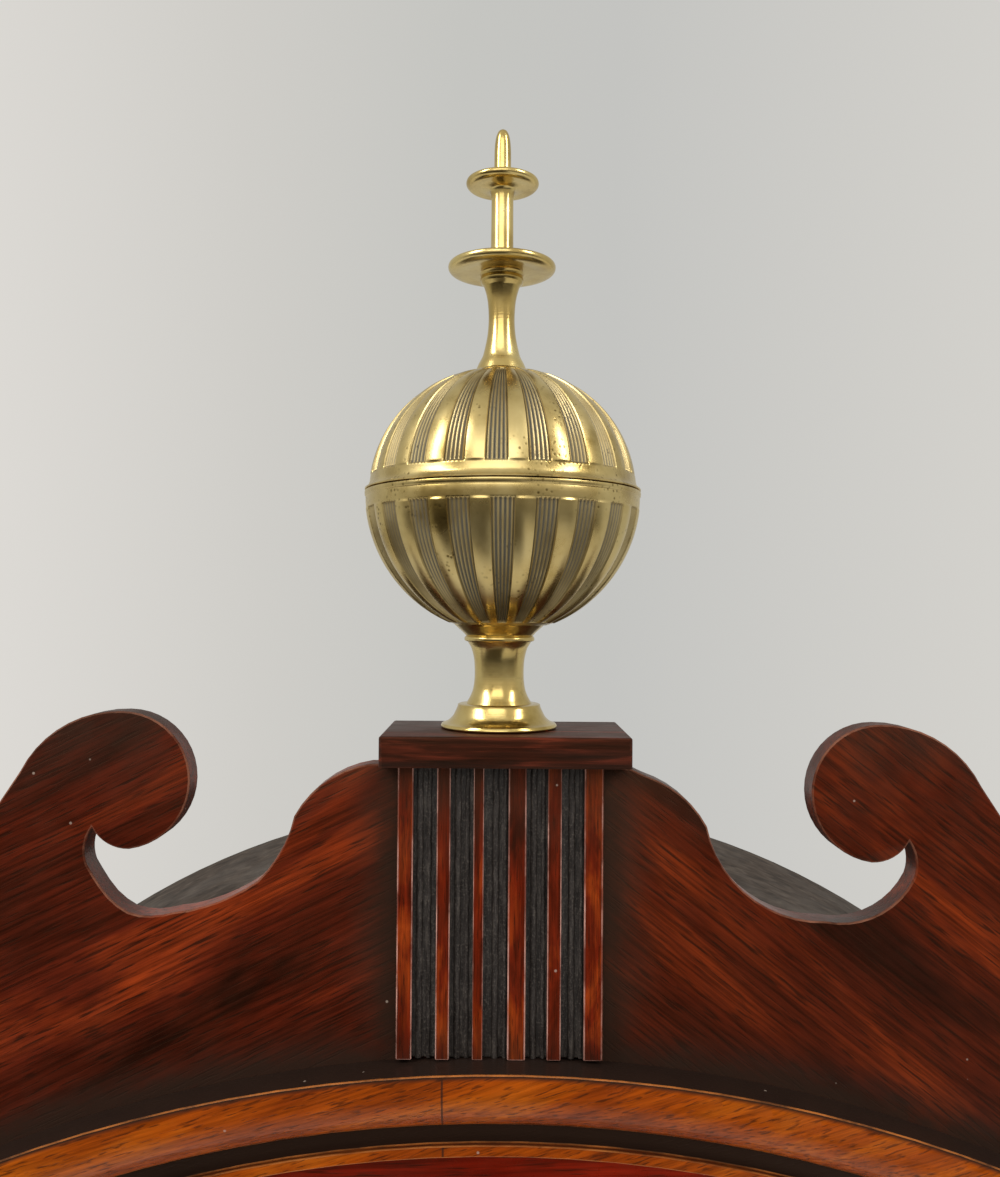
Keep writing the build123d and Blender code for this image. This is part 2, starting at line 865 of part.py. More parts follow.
def recess(radius, offset, low, high, height):
    """One sunk panel, as a slice of a ring that is cut from the ball. Angles from level."""
    inner = radius - recess_depth
    outer = radius + 2
    middle = (low + high) / 2

    def at(reach, angle):
        return offset + reach * cos(angle), height + reach * sin(angle)

    face = outline(
        at(inner, low), at(outer, low),
        (at(outer, middle), at(outer, high)),
        at(inner, high),
        (at(inner, middle), at(inner, low)),
    )
    width = 360 / recess_count * recess_share
    cutter = revolve(Plane.XZ * face, axis=Axis.Z, revolution_arc=width)
    return Rot(0, 0, -width / 2 - 90) * cutter


def panelled(half_ball, cutter):
    pitch = 360 / recess_count
    cutters = [Rot(0, 0, pitch * place) * cutter for place in range(recess_count)]
    half_ball -= cutters
    return Pos(0, finial_y, finial_base()) * half_ball


def finial_bowl():
    seam = ball_height
    low = seam - seam_thick / 2
    r = ball_radius
    inner = r - ball_wall
    bottom = -radians(70)
    face = outline(
        (0, seam - r),
        ((r * cos(-pi / 4), seam + r * sin(-pi / 4)), (sqrt(r ** 2 - (seam_thick / 2) ** 2), low)),
        (seam_radius, low),
        (seam_radius, seam + seam_thick / 2),
        (inner, seam + seam_thick / 2),
        (inner, seam),
        ((inner * cos(-pi / 4), seam + inner * sin(-pi / 4)), (0, seam - inner)),
    )
    bowl = revolve(Plane.XZ * face, axis=Axis.Z)
    return [panelled(bowl, recess(r, 0, bottom + 0.02, -asin(3.3 / r), seam))]


def finial_dome():
    seam = ball_height
    r = dome_radius
    inner = r - ball_wall
    low = asin(seam_thick / 2 / r)
    top = pi / 2 - asin((5.7 - dome_offset) / r)
    low_in = asin(seam_thick / 2 / inner)
    top_in = pi / 2 - asin((5.7 - dome_offset) / inner)

    def at(reach, angle):
        return dome_offset + reach * cos(angle), seam + reach * sin(angle)

    face = outline(
        at(inner, low_in), at(r, low),
        (at(r, (low + top) / 2), at(r, top)),
        at(inner, top_in),
        (at(inner, (low_in + top_in) / 2), at(inner, low_in)),
    )
    dome = revolve(Plane.XZ * face, axis=Axis.Z)
    return [panelled(dome, recess(r, dome_offset, asin(4.2 / r), top - 0.09, seam))]


def finial_spire():
    start = ball_height + sqrt(dome_radius ** 2 - (5.7 - dome_offset) ** 2)
    neck_low = start + 4
    disc = 100.0
    small = 118.5
    face = outline(
        (0, start - ball_wall), (5.6, start - ball_wall), (5.6, start), (5.7, start + 0.6),
        ((3.5, start + 6.4), (2.84, start + 11)),
        ((3.1, start + 16), (5.2, disc - 1)),
        (big_disc_radius - 0.7, disc - 0.1),
        ((big_disc_radius, disc + disc_thick / 2), (big_disc_radius - 0.7, disc + disc_thick)),
        (2.5, disc + disc_thick + 0.4),
        (2.5, small - 0.6),
        (small_disc_radius - 0.6, small),
        ((small_disc_radius, small + disc_thick / 2), (small_disc_radius - 0.6, small + disc_thick)),
        (1.86, small + disc_thick + 0.2),
        (1.86, spire_height - 4),
        ((1.3, spire_height - 1.2), (0.3, spire_height)),
        (0, spire_height),
    )
    return [turned(face, 0, finial_y, finial_base())]


# Hood door
def hood_door_frame():
    low = hood_floor + door_gap
    back_face = door_front + hood_door_thick
    step = dial_shoulder - sight_lap
    stile = block(sight_half, door_half, door_front, back_face, low, step)
    left = block(-door_half, -sight_half, door_front, back_face, low, step)
    bottom = block(-sight_half, sight_half, door_front, back_face, low, sight_bottom)
    head = Pos(0, (step + door_shoulder) / 2) * Rectangle(2 * door_half, door_shoulder - step)
    curve = Pos(0, dial_shoulder) * Circle(door_arch)
    curve -= Pos(0, step - door_arch) * Rectangle(2 * door_arch, 2 * door_arch)
    head = head + curve - Pos(0, dial_shoulder) * Circle(sight_arch)
    top = slab(head, door_front, back_face)
    x, y = pivot_place()
    corner = block(x, door_half, y, back_face, low, door_shoulder)
    corner -= Pos(x, y, (low + door_shoulder) / 2) * Cylinder(door_back_round, door_shoulder - low)
    stile -= corner
    top -= corner
    for plate in pivot_plates():
        stile -= plate
        bottom -= plate
        top -= plate
    return [stile, left, bottom, top]


def pivot_plates():
    x, y = pivot_place()
    x0 = door_half - pivot_plate
    width = pivot_inset
    low = hood_floor + door_gap
    plates = []
    for z0 in (low, door_shoulder - pivot_plate_thick):
        plates.append(block(x0, door_half, y - width / 2, y + width / 2, z0, z0 + pivot_plate_thick))
    return plates


def hood_door_pivots():
    x, y = pivot_place()
    low, high = pivot_plates()
    reach = pivot_length - 1
    low += Pos(x, y, hood_floor + door_gap - reach / 2) * Cylinder(pivot_radius, reach)
    high += Pos(x, y, door_shoulder + reach / 2) * Cylinder(pivot_radius, reach)
    return [low, high]


def hood_door_glass():
    """One pane in the arched opening, held between the stiles and rails."""
    pane = break_arch(sight_half, sight_bottom, dial_shoulder - sight_lap, sight_arch, dial_shoulder)
    y0 = door_front + door_glass_inset
    return [slab(pane, y0, y0 + door_glass)]


def hood_door_knob():
    r = knob_radius
    face = outline(
        (0, 0), (0.7 * r, 0), (0.7 * r, 0.12 * knob_reach), (0.4 * r, 0.2 * knob_reach),
        (0.4 * r, 0.4 * knob_reach),
        ((r, 0.7 * knob_reach), (0.2 * r, knob_reach)),
        (0, knob_reach),
    )
    knob = Rot(90, 0, 0) * revolve(Plane.XZ * face, axis=Axis.Z)
    return [Pos(-(door_half - knob_inset), door_front, dial_z) * knob]


# Dial
def dial_feet_places():
    return [(x, z) for x in (-46, 46) for z in (-50, 86)]


def dial_plate():
    """The painted iron dial, with its holes and its four riveted feet."""
    face = break_arch(dial_half, dial_bottom, dial_shoulder, dial_arch, dial_shoulder)
    face -= Pos(0, dial_z) * Circle(7.5)
    face -= Pos(0, dial_z + seconds_height) * Circle(2.6)
    for x in (-barrel_x, barrel_x):
        face -= Pos(x, barrel_z) * Circle(6.0)
    plate = slab(face, dial_front, dial_back)
    for x, z in dial_feet_places():
        plate += arbor(x, dial_z + z, dial_foot_radius, dial_back, plate_front)
    return [plate]


# Movement
def third_place():
    """The third wheel's arbor, at its gearing distances from the centre and seconds arbors."""
    low = (centre_teeth + pinion_leaves) * centre_module / 2
    high = (third_teeth + escape_pinion_leaves) * third_module / 2
    z = (low ** 2 - high ** 2 + seconds_height ** 2) / (2 * seconds_height)
    return sqrt(low ** 2 - z ** 2), z


def motion_place():
    reach = cannon_teeth * motion_module
    angle = radians(motion_angle)
    return reach * cos(angle), reach * sin(angle)


def hammer_place():
    return -50.0, 70.0


def pillar_places():
    return [(-52.5, -58), (52.5, -58), (-36, 92), (36, 92)]


def movement_frame():
    """Two brass plates and the pillars between them."""
    tx, tz = third_place()
    holes = [
        bearing(0, 0, pivot_pin),
        bearing(tx, tz, pivot_pin),
        bearing(0, seconds_height, pivot_pin),
        bearing(barrel_x, -barrel_drop, barrel_arbor),
        bearing(-barrel_x, -barrel_drop, barrel_arbor),
        bearing(*hammer_place(), pivot_pin),
    ]
    middle = (plate_top - plate_bottom) / 2
    outline_face = Pos(0, middle) * Rectangle(plate_width, plate_top + plate_bottom)
    faces = []
    for rear in (False, True):
        face = outline_face
        for x, z, r in holes:
            extra = 0 if rear or (x, z) not in ((0, 0), (0, seconds_height)) else arbor_radius - pivot_pin
            face -= Pos(x, z) * Circle(r + extra)
        face -= Pos(0, anchor_height) * Circle(6.0 if rear else pivot_pin + running)
        faces.append(Pos(0, dial_z) * face)
    solids = [
        slab(faces[0], plate_front, plate_front + plate_thick),
        slab(faces[1], plate_rear, movement_back),
    ]
    for x, z in pillar_places():
        solids.append(arbor(x, dial_z + z, pillar_radius, plate_front + plate_thick, plate_rear))
    mx, mz = motion_place()
    stud = arbor(mx, dial_z + mz, motion_stud, plate_front - 14, plate_front)
    solids[0] += stud
    return solids


def back_cock():
    """The bracket that carries the anchor's rear pivot and the pendulum."""
    y0 = movement_back + cock_reach
    z = dial_z + anchor_height
    bridge = block(-24, 24, y0, y0 + 3, z - 12, z + 12)
    for x in (-24, 16):
        bridge += block(x, x + 8, movement_back, y0, z - 12, z + 12)
    stud_end = pendulum_y + 7
    bridge += block(-7, 7, y0 + 3, stud_end, z - 6, z + 6)
    bridge -= arbor(0, z, pivot_pin + running, y0, y0 + 3)
    bridge -= arbor(0, z, 1.5 + running, y0 + 3 + 2, stud_end)
    return [bridge - block(-1.0, 1.0, pendulum_y - 4, pendulum_y + 4, z - 6, z)]


def bell_place():
    return bell_x, movement_back - bell_y, dial_z + plate_top + bell_lift


def bell_and_stand():
    x, y, z = bell_place()
    r = bell_radius
    tall = bell_height
    face = outline(
        (2.0, tall - bell_wall),
        ((0.72 * r, 0.68 * tall), (r - bell_wall, 0)),
        (r, 0),
        ((0.8 * r, 0.76 * tall), (2.0, tall)),
    )
    bell = turned(face, x, y, z)
    post = block(30, 40, movement_back, movement_back + 2.5, dial_z + 72, z + tall + 3)
    top = z + tall
    arm_plan = Polygon(
        (30, movement_back), (40, movement_back), (40, movement_back + 2.5), (30, movement_back + 2.5),
        (x - 6, y + 3), (x - 6, y - 5), (x + 2, y - 5), align=None)
    arm = extrude(Pos(0, 0, top) * arm_plan, amount=3, dir=(0, 0, 1))
    screw = Pos(x, y, top - 3) * Cylinder(1.9, 12)
    return [bell, post + arm + screw]


def hammer():
    """A pivoted hammer that stands just clear of the bell's rim."""
    hx, hz = hammer_place()
    x, y, z = bell_place()
    head_x = x - bell_radius - hammer_gap - hammer_radius
    head_z = z + hammer_radius + 1
    rod = arbor(hx, dial_z + hz, arbor_radius, plate_front + plate_thick + 1, plate_rear - 1)
    rod += arbor(hx, dial_z + hz, pivot_pin, plate_front + 0.3, movement_back - 0.3)
    arm = slab(
        Polygon((hx - 2, dial_z + hz), (hx + 2, dial_z + hz), (head_x + 1.5, head_z), (head_x - 1.5, head_z),
                align=None),
        y - 1.5, y + 1.5)
    head = Pos(head_x, y, head_z) * (Rot(0, 90, 0) * Cylinder(hammer_radius - 0.5, 2 * hammer_radius))
    return [rod + arm + head]


# Going train
def great_y():
    return barrel_y1 + barrel_cap + 1.5


def centre_angle(side):
    return atan2(barrel_drop, -side * barrel_x)


def going_great_wheel():
    y0 = great_y()
    hole = barrel_arbor + running
    return [wheel(great_teeth, great_module, barrel_x, barrel_z, y0, y0 + wheel_thick, hole, centre_angle(1))]


def strike_great_wheel():
    y0 = great_y()
    hole = barrel_arbor + running
    return [wheel(strike_great_teeth, great_module, -barrel_x, barrel_z, y0, y0 + wheel_thick, hole, 0.0)]


def barrel(x):
    """A grooved drum with its end caps, ratchet, arbor and winding square."""
    drum = arbor(x, barrel_z, barrel_radius, barrel_y0, barrel_y1)
    drum += arbor(x, barrel_z, barrel_cap_radius, barrel_y0 - barrel_cap, barrel_y0)
    drum += arbor(x, barrel_z, barrel_cap_radius, barrel_y1, barrel_y1 + barrel_cap)
    drum += arbor(x, barrel_z, 12.0, barrel_y1 + barrel_cap, great_y() - 0.2)
    drum += arbor(x, barrel_z, barrel_arbor, plate_front - 1, movement_back - 0.3)
    square = Pos(x, barrel_z) * Rectangle(winding_square, winding_square)
    return drum + slab(square, dial_back - 1, plate_front - 1)


def going_barrel():
    return [barrel(barrel_x)]


def strike_barrel():
    return [barrel(-barrel_x)]


def half_pitch(leaves):
    return pi / leaves


def centre_wheel():
    """Centre arbor with its pinion at the back and its wheel at the front."""
    y_wheel = barrel_y0 - barrel_cap - 4 - wheel_thick
    tx, tz = third_place()
    piece = wheel(centre_teeth, centre_module, 0, dial_z, y_wheel, y_wheel + wheel_thick, arbor_radius - 0.5,
                  atan2(tz, tx))
    piece += arbor(0, dial_z, 4.0, y_wheel - 1, y_wheel + wheel_thick + 1)
    piece += arbor(0, dial_z, arbor_radius, hand_front() - 1, plate_rear - 1)
    piece += arbor(0, dial_z, pivot_pin, plate_rear - 1, movement_back - 0.3)
    angle = atan2(-barrel_drop, barrel_x) + half_pitch(pinion_leaves)
    piece += pinion(pinion_leaves, great_module, 0, dial_z, great_y() - 2, great_y() + wheel_thick + 2, angle)
    return [piece]


def third_wheel():
    tx, tz = third_place()
    x, z = tx, dial_z + tz
    y_wheel = barrel_mid - 8
    back_turn = atan2(-tz, -tx) + half_pitch(pinion_leaves)
    forward = atan2(seconds_height - tz, -tx)
    piece = wheel(third_teeth, third_module, x, z, y_wheel, y_wheel + wheel_thick, arbor_radius - 0.5, forward)
    piece += arbor(x, z, 4.0, y_wheel - 1, y_wheel + wheel_thick + 1)
    piece += arbor(x, z, 1.8, plate_front + plate_thick + 1, plate_rear - 1)
    piece += arbor(x, z, pivot_pin, plate_front + 0.3, movement_back - 0.3)
    y_pinion = barrel_y0 - barrel_cap - 4 - wheel_thick
    piece += pinion(pinion_leaves, centre_module, x, z, y_pinion - 2, y_pinion + wheel_thick + 2, back_turn)
    return [piece]


def escape_outline():
    step = 2 * pi / escape_teeth
    points = []
    for tooth in range(escape_teeth):
        a = tooth * step
        root = escape_radius - 3.4
        points.append((root * cos(a), root * sin(a)))
        points.append((escape_radius * cos(a + 0.62 * step), escape_radius * sin(a + 0.62 * step)))
        points.append((escape_radius * cos(a + 0.7 * step), escape_radius * sin(a + 0.7 * step)))
        points.append((root * cos(a + 0.76 * step), root * sin(a + 0.76 * step)))
    return Polygon(*points, align=None)


def escape_y():
    return barrel_mid + 12


def escape_wheel():
    x, z = 0, dial_z + seconds_height
    tx, tz = third_place()
    y0 = escape_y()
    ring = escape_outline() - Circle(escape_radius - 6.4) + Circle(4.5)
    for turn in (0, 90):
        ring += Rot(0, 0, turn) * Rectangle(2 * escape_radius - 10, 2.4)
    piece = slab(Pos(x, z) * ring, y0, y0 + 1.6)
    piece += arbor(x, z, 4.0, y0 - 1, y0 + 2.6)
    piece += arbor(x, z, 1.5, plate_front + plate_thick + 1, plate_rear - 1)
    piece += arbor(x, z, pivot_pin, plate_rear - 1, movement_back - 0.3)
    piece += arbor(x, z, pivot_pin + 0.1, seconds_y() - 0.5, plate_front + plate_thick + 1)
    y_third = barrel_mid - 8
    turn = atan2(tz - seconds_height, tx) + half_pitch(escape_pinion_leaves)
    piece += pinion(escape_pinion_leaves, third_module, x, z, y_third - 2, y_third + wheel_thick + 2, turn)
    return [piece]


def anchor():
    """Anchor, arbor and the crutch behind the back plate."""
    z = dial_z + anchor_height
    span = anchor_height - seconds_height
    inner = escape_radius + pallet_gap
    half = radians(44)
    low = inner + 4.0

    def at(reach, angle):
        return reach * sin(angle), seconds_height + reach * cos(angle)

    arch = outline(
        at(inner, -half), (at(inner, 0), at(inner, half)), at(low, half),
        (at(low, 0), at(low, -half)),
    )
    arch += Pos(0, seconds_height + (low + span) / 2) * Rectangle(7, span - low + 6)
    y0 = escape_y()
    piece = slab(Pos(0, dial_z) * (arch + Pos(0, anchor_height) * Circle(4.5)), y0, y0 + 1.6)
    piece += arbor(0, z, 1.8, plate_front + plate_thick + 1, movement_back + 1)
    piece += arbor(0, z, pivot_pin, plate_front + 0.3, movement_back + cock_reach + 2.7)
    y1 = movement_back + 4
    piece += arbor(0, z, 1.8, movement_back + 1, y1 + 2)
    drop = 118.0
    piece += block(-2.2, 2.2, y1, y1 + 2, z - drop, z)
    gap = rod_radius + rest_gap
    for side in (-1, 1):
        x0, x1 = sorted((side * gap, side * (gap + 1.6)))
        piece += block(x0, x1, y1, pendulum_y + rod_radius + 1, z - drop, z - drop + 8)
    piece += block(-gap - 1.6, gap + 1.6, y1, y1 + 2, z - drop, z - drop + 8)
    return [piece]


# Motion work and hands
def seconds_y():
    return dial_front - 2.4


def hour_y():
    return dial_front - 5.4


def minute_y():
    return hour_y() - 2.4


def hand_front():
    return minute_y() - 1.6


def cannon_y():
    return plate_front - 7.5


def motion_wheel():
    mx, mz = motion_place()
    x, z = mx, dial_z + mz
    y0 = cannon_y()
    hole = motion_stud + running
    toward = atan2(-mz, -mx)
    piece = wheel(cannon_teeth, motion_module, x, z, y0, y0 + wheel_thick, hole, toward)
    module = hour_module()
    leaves = pinion(motion_pinion_leaves, module, x, z, y0 - 5, y0, toward + half_pitch(motion_pinion_leaves))
    return [piece + leaves - arbor(x, z, hole, y0 - 6, y0 + wheel_thick + 1)]


def hour_module():
    reach = hypot(*motion_place())
    return 2 * reach / (motion_pinion_leaves + hour_teeth)


def pipe_radius():
    return arbor_radius + running + pipe_wall


def hand_outline(length, width, boss, tail):
    """A tapered steel hand with a round boss, pointing up."""
    tip = 0.12 * width
    waist = 0.3 * width
    blade = outline(
        (-waist, 0), (waist, 0),
        ((0.8 * width, 0.55 * length), (0.5 * width, 0.74 * length)),
        (tip, length), (-tip, length),
        (-0.5 * width, 0.74 * length),
        ((-0.8 * width, 0.55 * length), (-waist, 0)),
    )
    if tail > 0:
        blade += Pos(0, -tail / 2) * Rectangle(2 * waist, tail)
    return blade + Circle(boss)


def minute_hand():
    """Minute hand on its pipe, with the cannon wheel at the back."""
    mx, mz = motion_place()
    hole = arbor_radius + running
    y0 = cannon_y()
    turn = atan2(mz, mx) + half_pitch(cannon_teeth)
    piece = wheel(cannon_teeth, motion_module, 0, dial_z, y0, y0 + wheel_thick, hole, turn)
    piece += arbor(0, dial_z, pipe_radius(), minute_y(), y0 + wheel_thick + 2)
    piece += slab(Pos(0, dial_z) * hand_outline(minute_hand_length, 5.0, 8.0, 0), minute_y(),
                  minute_y() + hand_thick)
    return [piece - arbor(0, dial_z, hole, minute_y() - 1, y0 + wheel_thick + 3)]


def hour_hand():
    """Hour hand on the hour wheel's pipe."""
    mx, mz = motion_place()
    hole = pipe_radius() + running
    y0 = cannon_y() - 4
    turn = atan2(mz, mx)
    piece = wheel(hour_teeth, hour_module(), 0, dial_z, y0, y0 + 1.6, hole, turn)
    piece += arbor(0, dial_z, hole + 1.2, hour_y(), y0 + 2.4)
    piece += slab(Pos(0, dial_z) * hand_outline(hour_hand_length, 8.0, 9.5, 0), hour_y(), hour_y() + hand_thick)
    return [piece - arbor(0, dial_z, hole, hour_y() - 1, y0 + 3)]


def seconds_hand():
    hand = hand_outline(seconds_hand_length, 1.6, 3.0, 8.0) - Circle(pivot_pin + 0.1)
    return [slab(Pos(0, dial_z + seconds_height) * hand, seconds_y(), seconds_y() + hand_thick)]


# Pendulum
def pendulum_rod():
    """Suspension pin and spring, iron rod and rating nut."""
    z = swing_z
    bob_z = z - pendulum_length
    piece = arbor(0, z, 1.5, pendulum_y - 7, pendulum_y + 6)
    piece += block(-0.3, 0.3, pendulum_y - 3, pendulum_y + 3, z - 40, z)
    piece += block(-1.8, 1.8, pendulum_y - 4, pendulum_y + 4, z - 52, z - 38)
    end = bob_z - bob_radius - 24
    piece += Pos(0, pendulum_y, (z - 50 + end) / 2) * Cylinder(rod_radius, z - 50 - end)
    nut = Pos(0, pendulum_y, bob_z - bob_radius - 4 - rest_gap) * Cylinder(8, 8)
    return [piece + nut]


def pendulum_bob():
    """A lens of lead faced with brass, free to slide on the rod and resting on the nut."""
    z = swing_z - pendulum_length
    half = bob_thick / 2
    r = bob_radius
    face = outline(
        (0, -half),
        ((0.62 * r, -0.66 * half), (r, -0.16 * half)),
        (r, 0.16 * half),
        ((0.62 * r, 0.66 * half), (0, half)),
    )
    lens = turned_along_y(face, 0, pendulum_y, z)
    return [lens - Pos(0, pendulum_y, z) * Cylinder(rod_radius + running, 2 * r + 2)]


# Weights
def weight_x(side):
    return side * barrel_x - line_path + pulley_path


def weight(side):
    """An iron weight with its hook and the stirrup that holds the pulley."""
    x = weight_x(side)
    low = floor_gap + board + weight_floor_gap
    r = weight_radius
    top = weight_height
    face = outline(
        (0, 0), (r - 1.5, 0), (r, 1.5), (r, top - 12),
        ((r - 2.5, top - 5), (r - 9, top - 3)),
        (5, top), (0, top),
    )
    body = turned(face, x, barrel_mid, low)
    body += Pos(x, barrel_mid, low + top + 5) * Cylinder(2.5, 12)
    cheek = pulley_thick / 2 + rest_gap
    plate = 1.6
    bridge_low = low + top + 10
    stirrup = block(x - 5, x + 5, barrel_mid - cheek - plate, barrel_mid + cheek + plate, bridge_low, bridge_low + 4)
    for y0 in (barrel_mid - cheek - plate, barrel_mid + cheek):
        stirrup += block(x - 5, x + 5, y0, y0 + plate, bridge_low, pulley_z + 5)
    stirrup += arbor(x, pulley_z, 2.5, barrel_mid - cheek - plate - 1, barrel_mid + cheek + plate + 1)
    return [body + stirrup]


def going_weight():
    return weight(1)


def strike_weight():
    return weight(-1)


def pulley(side):
    """A grooved brass pulley, bored to run on the stirrup's pin."""
    half = pulley_thick / 2
    rim = pulley_radius + pulley_rim
    bore = 2.5 + running
    face = outline(
        (bore, -half), (rim, -half), (rim, -0.7 * half),
        ((pulley_radius, 0), (rim, 0.7 * half)),
        (rim, half), (bore, half),
    )
    return [turned_along_y(face, weight_x(side), barrel_mid, pulley_z)]


def gut_line(side):
    """The line from the barrel, under the pulley and up through the seatboard to its knot."""
    x = weight_x(side)
    left = x - pulley_path
    right = x + pulley_path
    top = seat_top + 3
    path = Line((left, barrel_z), (left, pulley_z))
    path += ThreePointArc((left, pulley_z), (x, pulley_z - pulley_path), (right, pulley_z))
    path += Line((right, pulley_z), (right, top))
    path = Plane.XZ.offset(-barrel_mid) * path
    start = Plane(origin=(left, barrel_mid, barrel_z), z_dir=(0, 0, -1))
    line = sweep(start * Circle(line_radius), path=path)
    return [line + Pos(right, barrel_mid, top) * Sphere(2.4)]


nodes = {
    "skirting": skirting(),
    "base_front_panel": base_front_panel(),
    "base_sides": base_sides(),
    "base_floor": base_floor(),
    "base_moulding": base_moulding(),
    "backboard": backboard(),
    "trunk_sides": trunk_sides() + hood_runners(),
    "trunk_front_frame": trunk_front_frame(),
    "throat_moulding": throat_moulding(),
    "seatboard": seatboard(),
    "trunk_hinge_leaves": trunk_hinge_leaves(),
    "trunk_door_panel": trunk_door(),
    "trunk_door_hinges": trunk_door_hinges(),
    "trunk_door_key_plate": key_plate(),
    "hood_base_frame": hood_base_frame(),
    "hood_mask_frame": mask_frame(),
    "hood_sides": hood_sides(),
    "hood_side_glass": hood_side_glass(),
    "hood_frieze": frieze(),
    "arch_moulding": arch_moulding(),
    "cornice_returns": cornice_returns(),
    "pediment_boards": pediment_boards(),
    "fluted_plinth": fluted_plinth(),
    "plinth_cap": plinth_cap(),
    "hood_roof": hood_roof(),
    "hood_columns": hood_columns(),
    "column_brasses": column_brasses(),
    "finial_foot": finial_foot(),
    "finial_bowl": finial_bowl(),
    "finial_dome": finial_dome(),
    "finial_spire": finial_spire(),
    "hood_door_frame": hood_door_frame(),
    "hood_door_glass": hood_door_glass(),
    "hood_door_pivots": hood_door_pivots(),
    "hood_door_knob": hood_door_knob(),
    "dial_plate": dial_plate(),
    "movement_frame": movement_frame(),
    "back_cock": back_cock(),
    "bell_and_stand": bell_and_stand(),
    "hammer": hammer(),
    "going_great_wheel": going_great_wheel(),
    "strike_great_wheel": strike_great_wheel(),
    "going_barrel": going_barrel(),
    "strike_barrel": strike_barrel(),
    "centre_wheel": centre_wheel(),
    "third_wheel": third_wheel(),
    "escape_wheel": escape_wheel(),
    "anchor_and_crutch": anchor(),
    "motion_wheel": motion_wheel(),
    "minute_hand": minute_hand(),
    "hour_hand": hour_hand(),
    "seconds_hand": seconds_hand(),
    "pendulum_rod": pendulum_rod(),
    "pendulum_bob": pendulum_bob(),
    "going_weight": going_weight(),
    "strike_weight": strike_weight(),
    "going_pulley": pulley(1),
    "strike_pulley": pulley(-1),
    "going_line": gut_line(1),
    "strike_line": gut_line(-1),
}


def main():
    os.makedirs("parts", exist_ok=True)
    for name, solids in nodes.items():
        loose = []
        for piece in solids:
            loose += piece.solids()
        shape = loose[0] if len(loose) == 1 else Compound(children=loose)
        export_step(shape, os.path.join("parts", name + ".step"))


main()
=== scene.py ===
import json
from math import acos, asin, atan2, cos, hypot, pi, radians, sin, sqrt, tau

import bmesh
import bpy
from mathutils import Matrix, Vector


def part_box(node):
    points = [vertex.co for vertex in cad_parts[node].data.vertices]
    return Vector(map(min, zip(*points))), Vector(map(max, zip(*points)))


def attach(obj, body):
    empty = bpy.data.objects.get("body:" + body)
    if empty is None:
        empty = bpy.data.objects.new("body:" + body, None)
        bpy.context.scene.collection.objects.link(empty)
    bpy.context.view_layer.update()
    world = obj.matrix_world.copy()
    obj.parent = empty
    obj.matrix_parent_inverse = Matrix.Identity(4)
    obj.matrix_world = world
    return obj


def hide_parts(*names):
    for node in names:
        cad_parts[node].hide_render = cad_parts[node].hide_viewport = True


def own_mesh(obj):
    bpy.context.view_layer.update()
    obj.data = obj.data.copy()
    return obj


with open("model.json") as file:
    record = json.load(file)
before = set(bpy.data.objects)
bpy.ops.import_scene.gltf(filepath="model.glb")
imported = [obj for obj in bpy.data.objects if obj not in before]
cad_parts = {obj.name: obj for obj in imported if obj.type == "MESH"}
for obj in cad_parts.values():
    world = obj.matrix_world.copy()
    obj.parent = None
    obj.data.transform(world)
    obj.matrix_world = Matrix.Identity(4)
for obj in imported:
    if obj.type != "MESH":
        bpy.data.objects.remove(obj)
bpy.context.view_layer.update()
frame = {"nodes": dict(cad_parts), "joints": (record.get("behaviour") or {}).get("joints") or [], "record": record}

mm = 0.001
nodes = frame["nodes"]
bodyOfNode = {}
for bodyName, members in frame["record"]["behaviour"]["bodies"].items():
    for member in members:
        bodyOfNode[member] = bodyName
joints = {joint["name"]: joint for joint in frame["joints"]}
print("frame loaded:", len(nodes), "nodes")

# places that the pieces share, read from the frame
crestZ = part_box("arch_moulding")[1].z  # crown of the arch's ledge
archRadius = 285 * mm
archZ = crestZ - archRadius
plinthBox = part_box("fluted_plinth")
plinthFront = plinthBox[0].y
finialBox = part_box("finial_foot")
finialY = (finialBox[0].y + finialBox[1].y) / 2
finialZ = finialBox[0].z
dialZ = joints["minute_hand_turn"]["pos_m"][2]
secondsZ = joints["escape_wheel_turn"]["pos_m"][2]
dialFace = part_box("dial_plate")[0].y
barrelZ = joints["going_barrel_turn"]["pos_m"][2]


# small tools
def colourOf(hexText):
    # sRGB hex to linear
    parts = [int(hexText[place:place + 2], 16) / 255 for place in (1, 3, 5)]
    return tuple(c / 12.92 if c <= 0.04045 else ((c + 0.055) / 1.055) ** 2.4 for c in parts) + (1.0,)


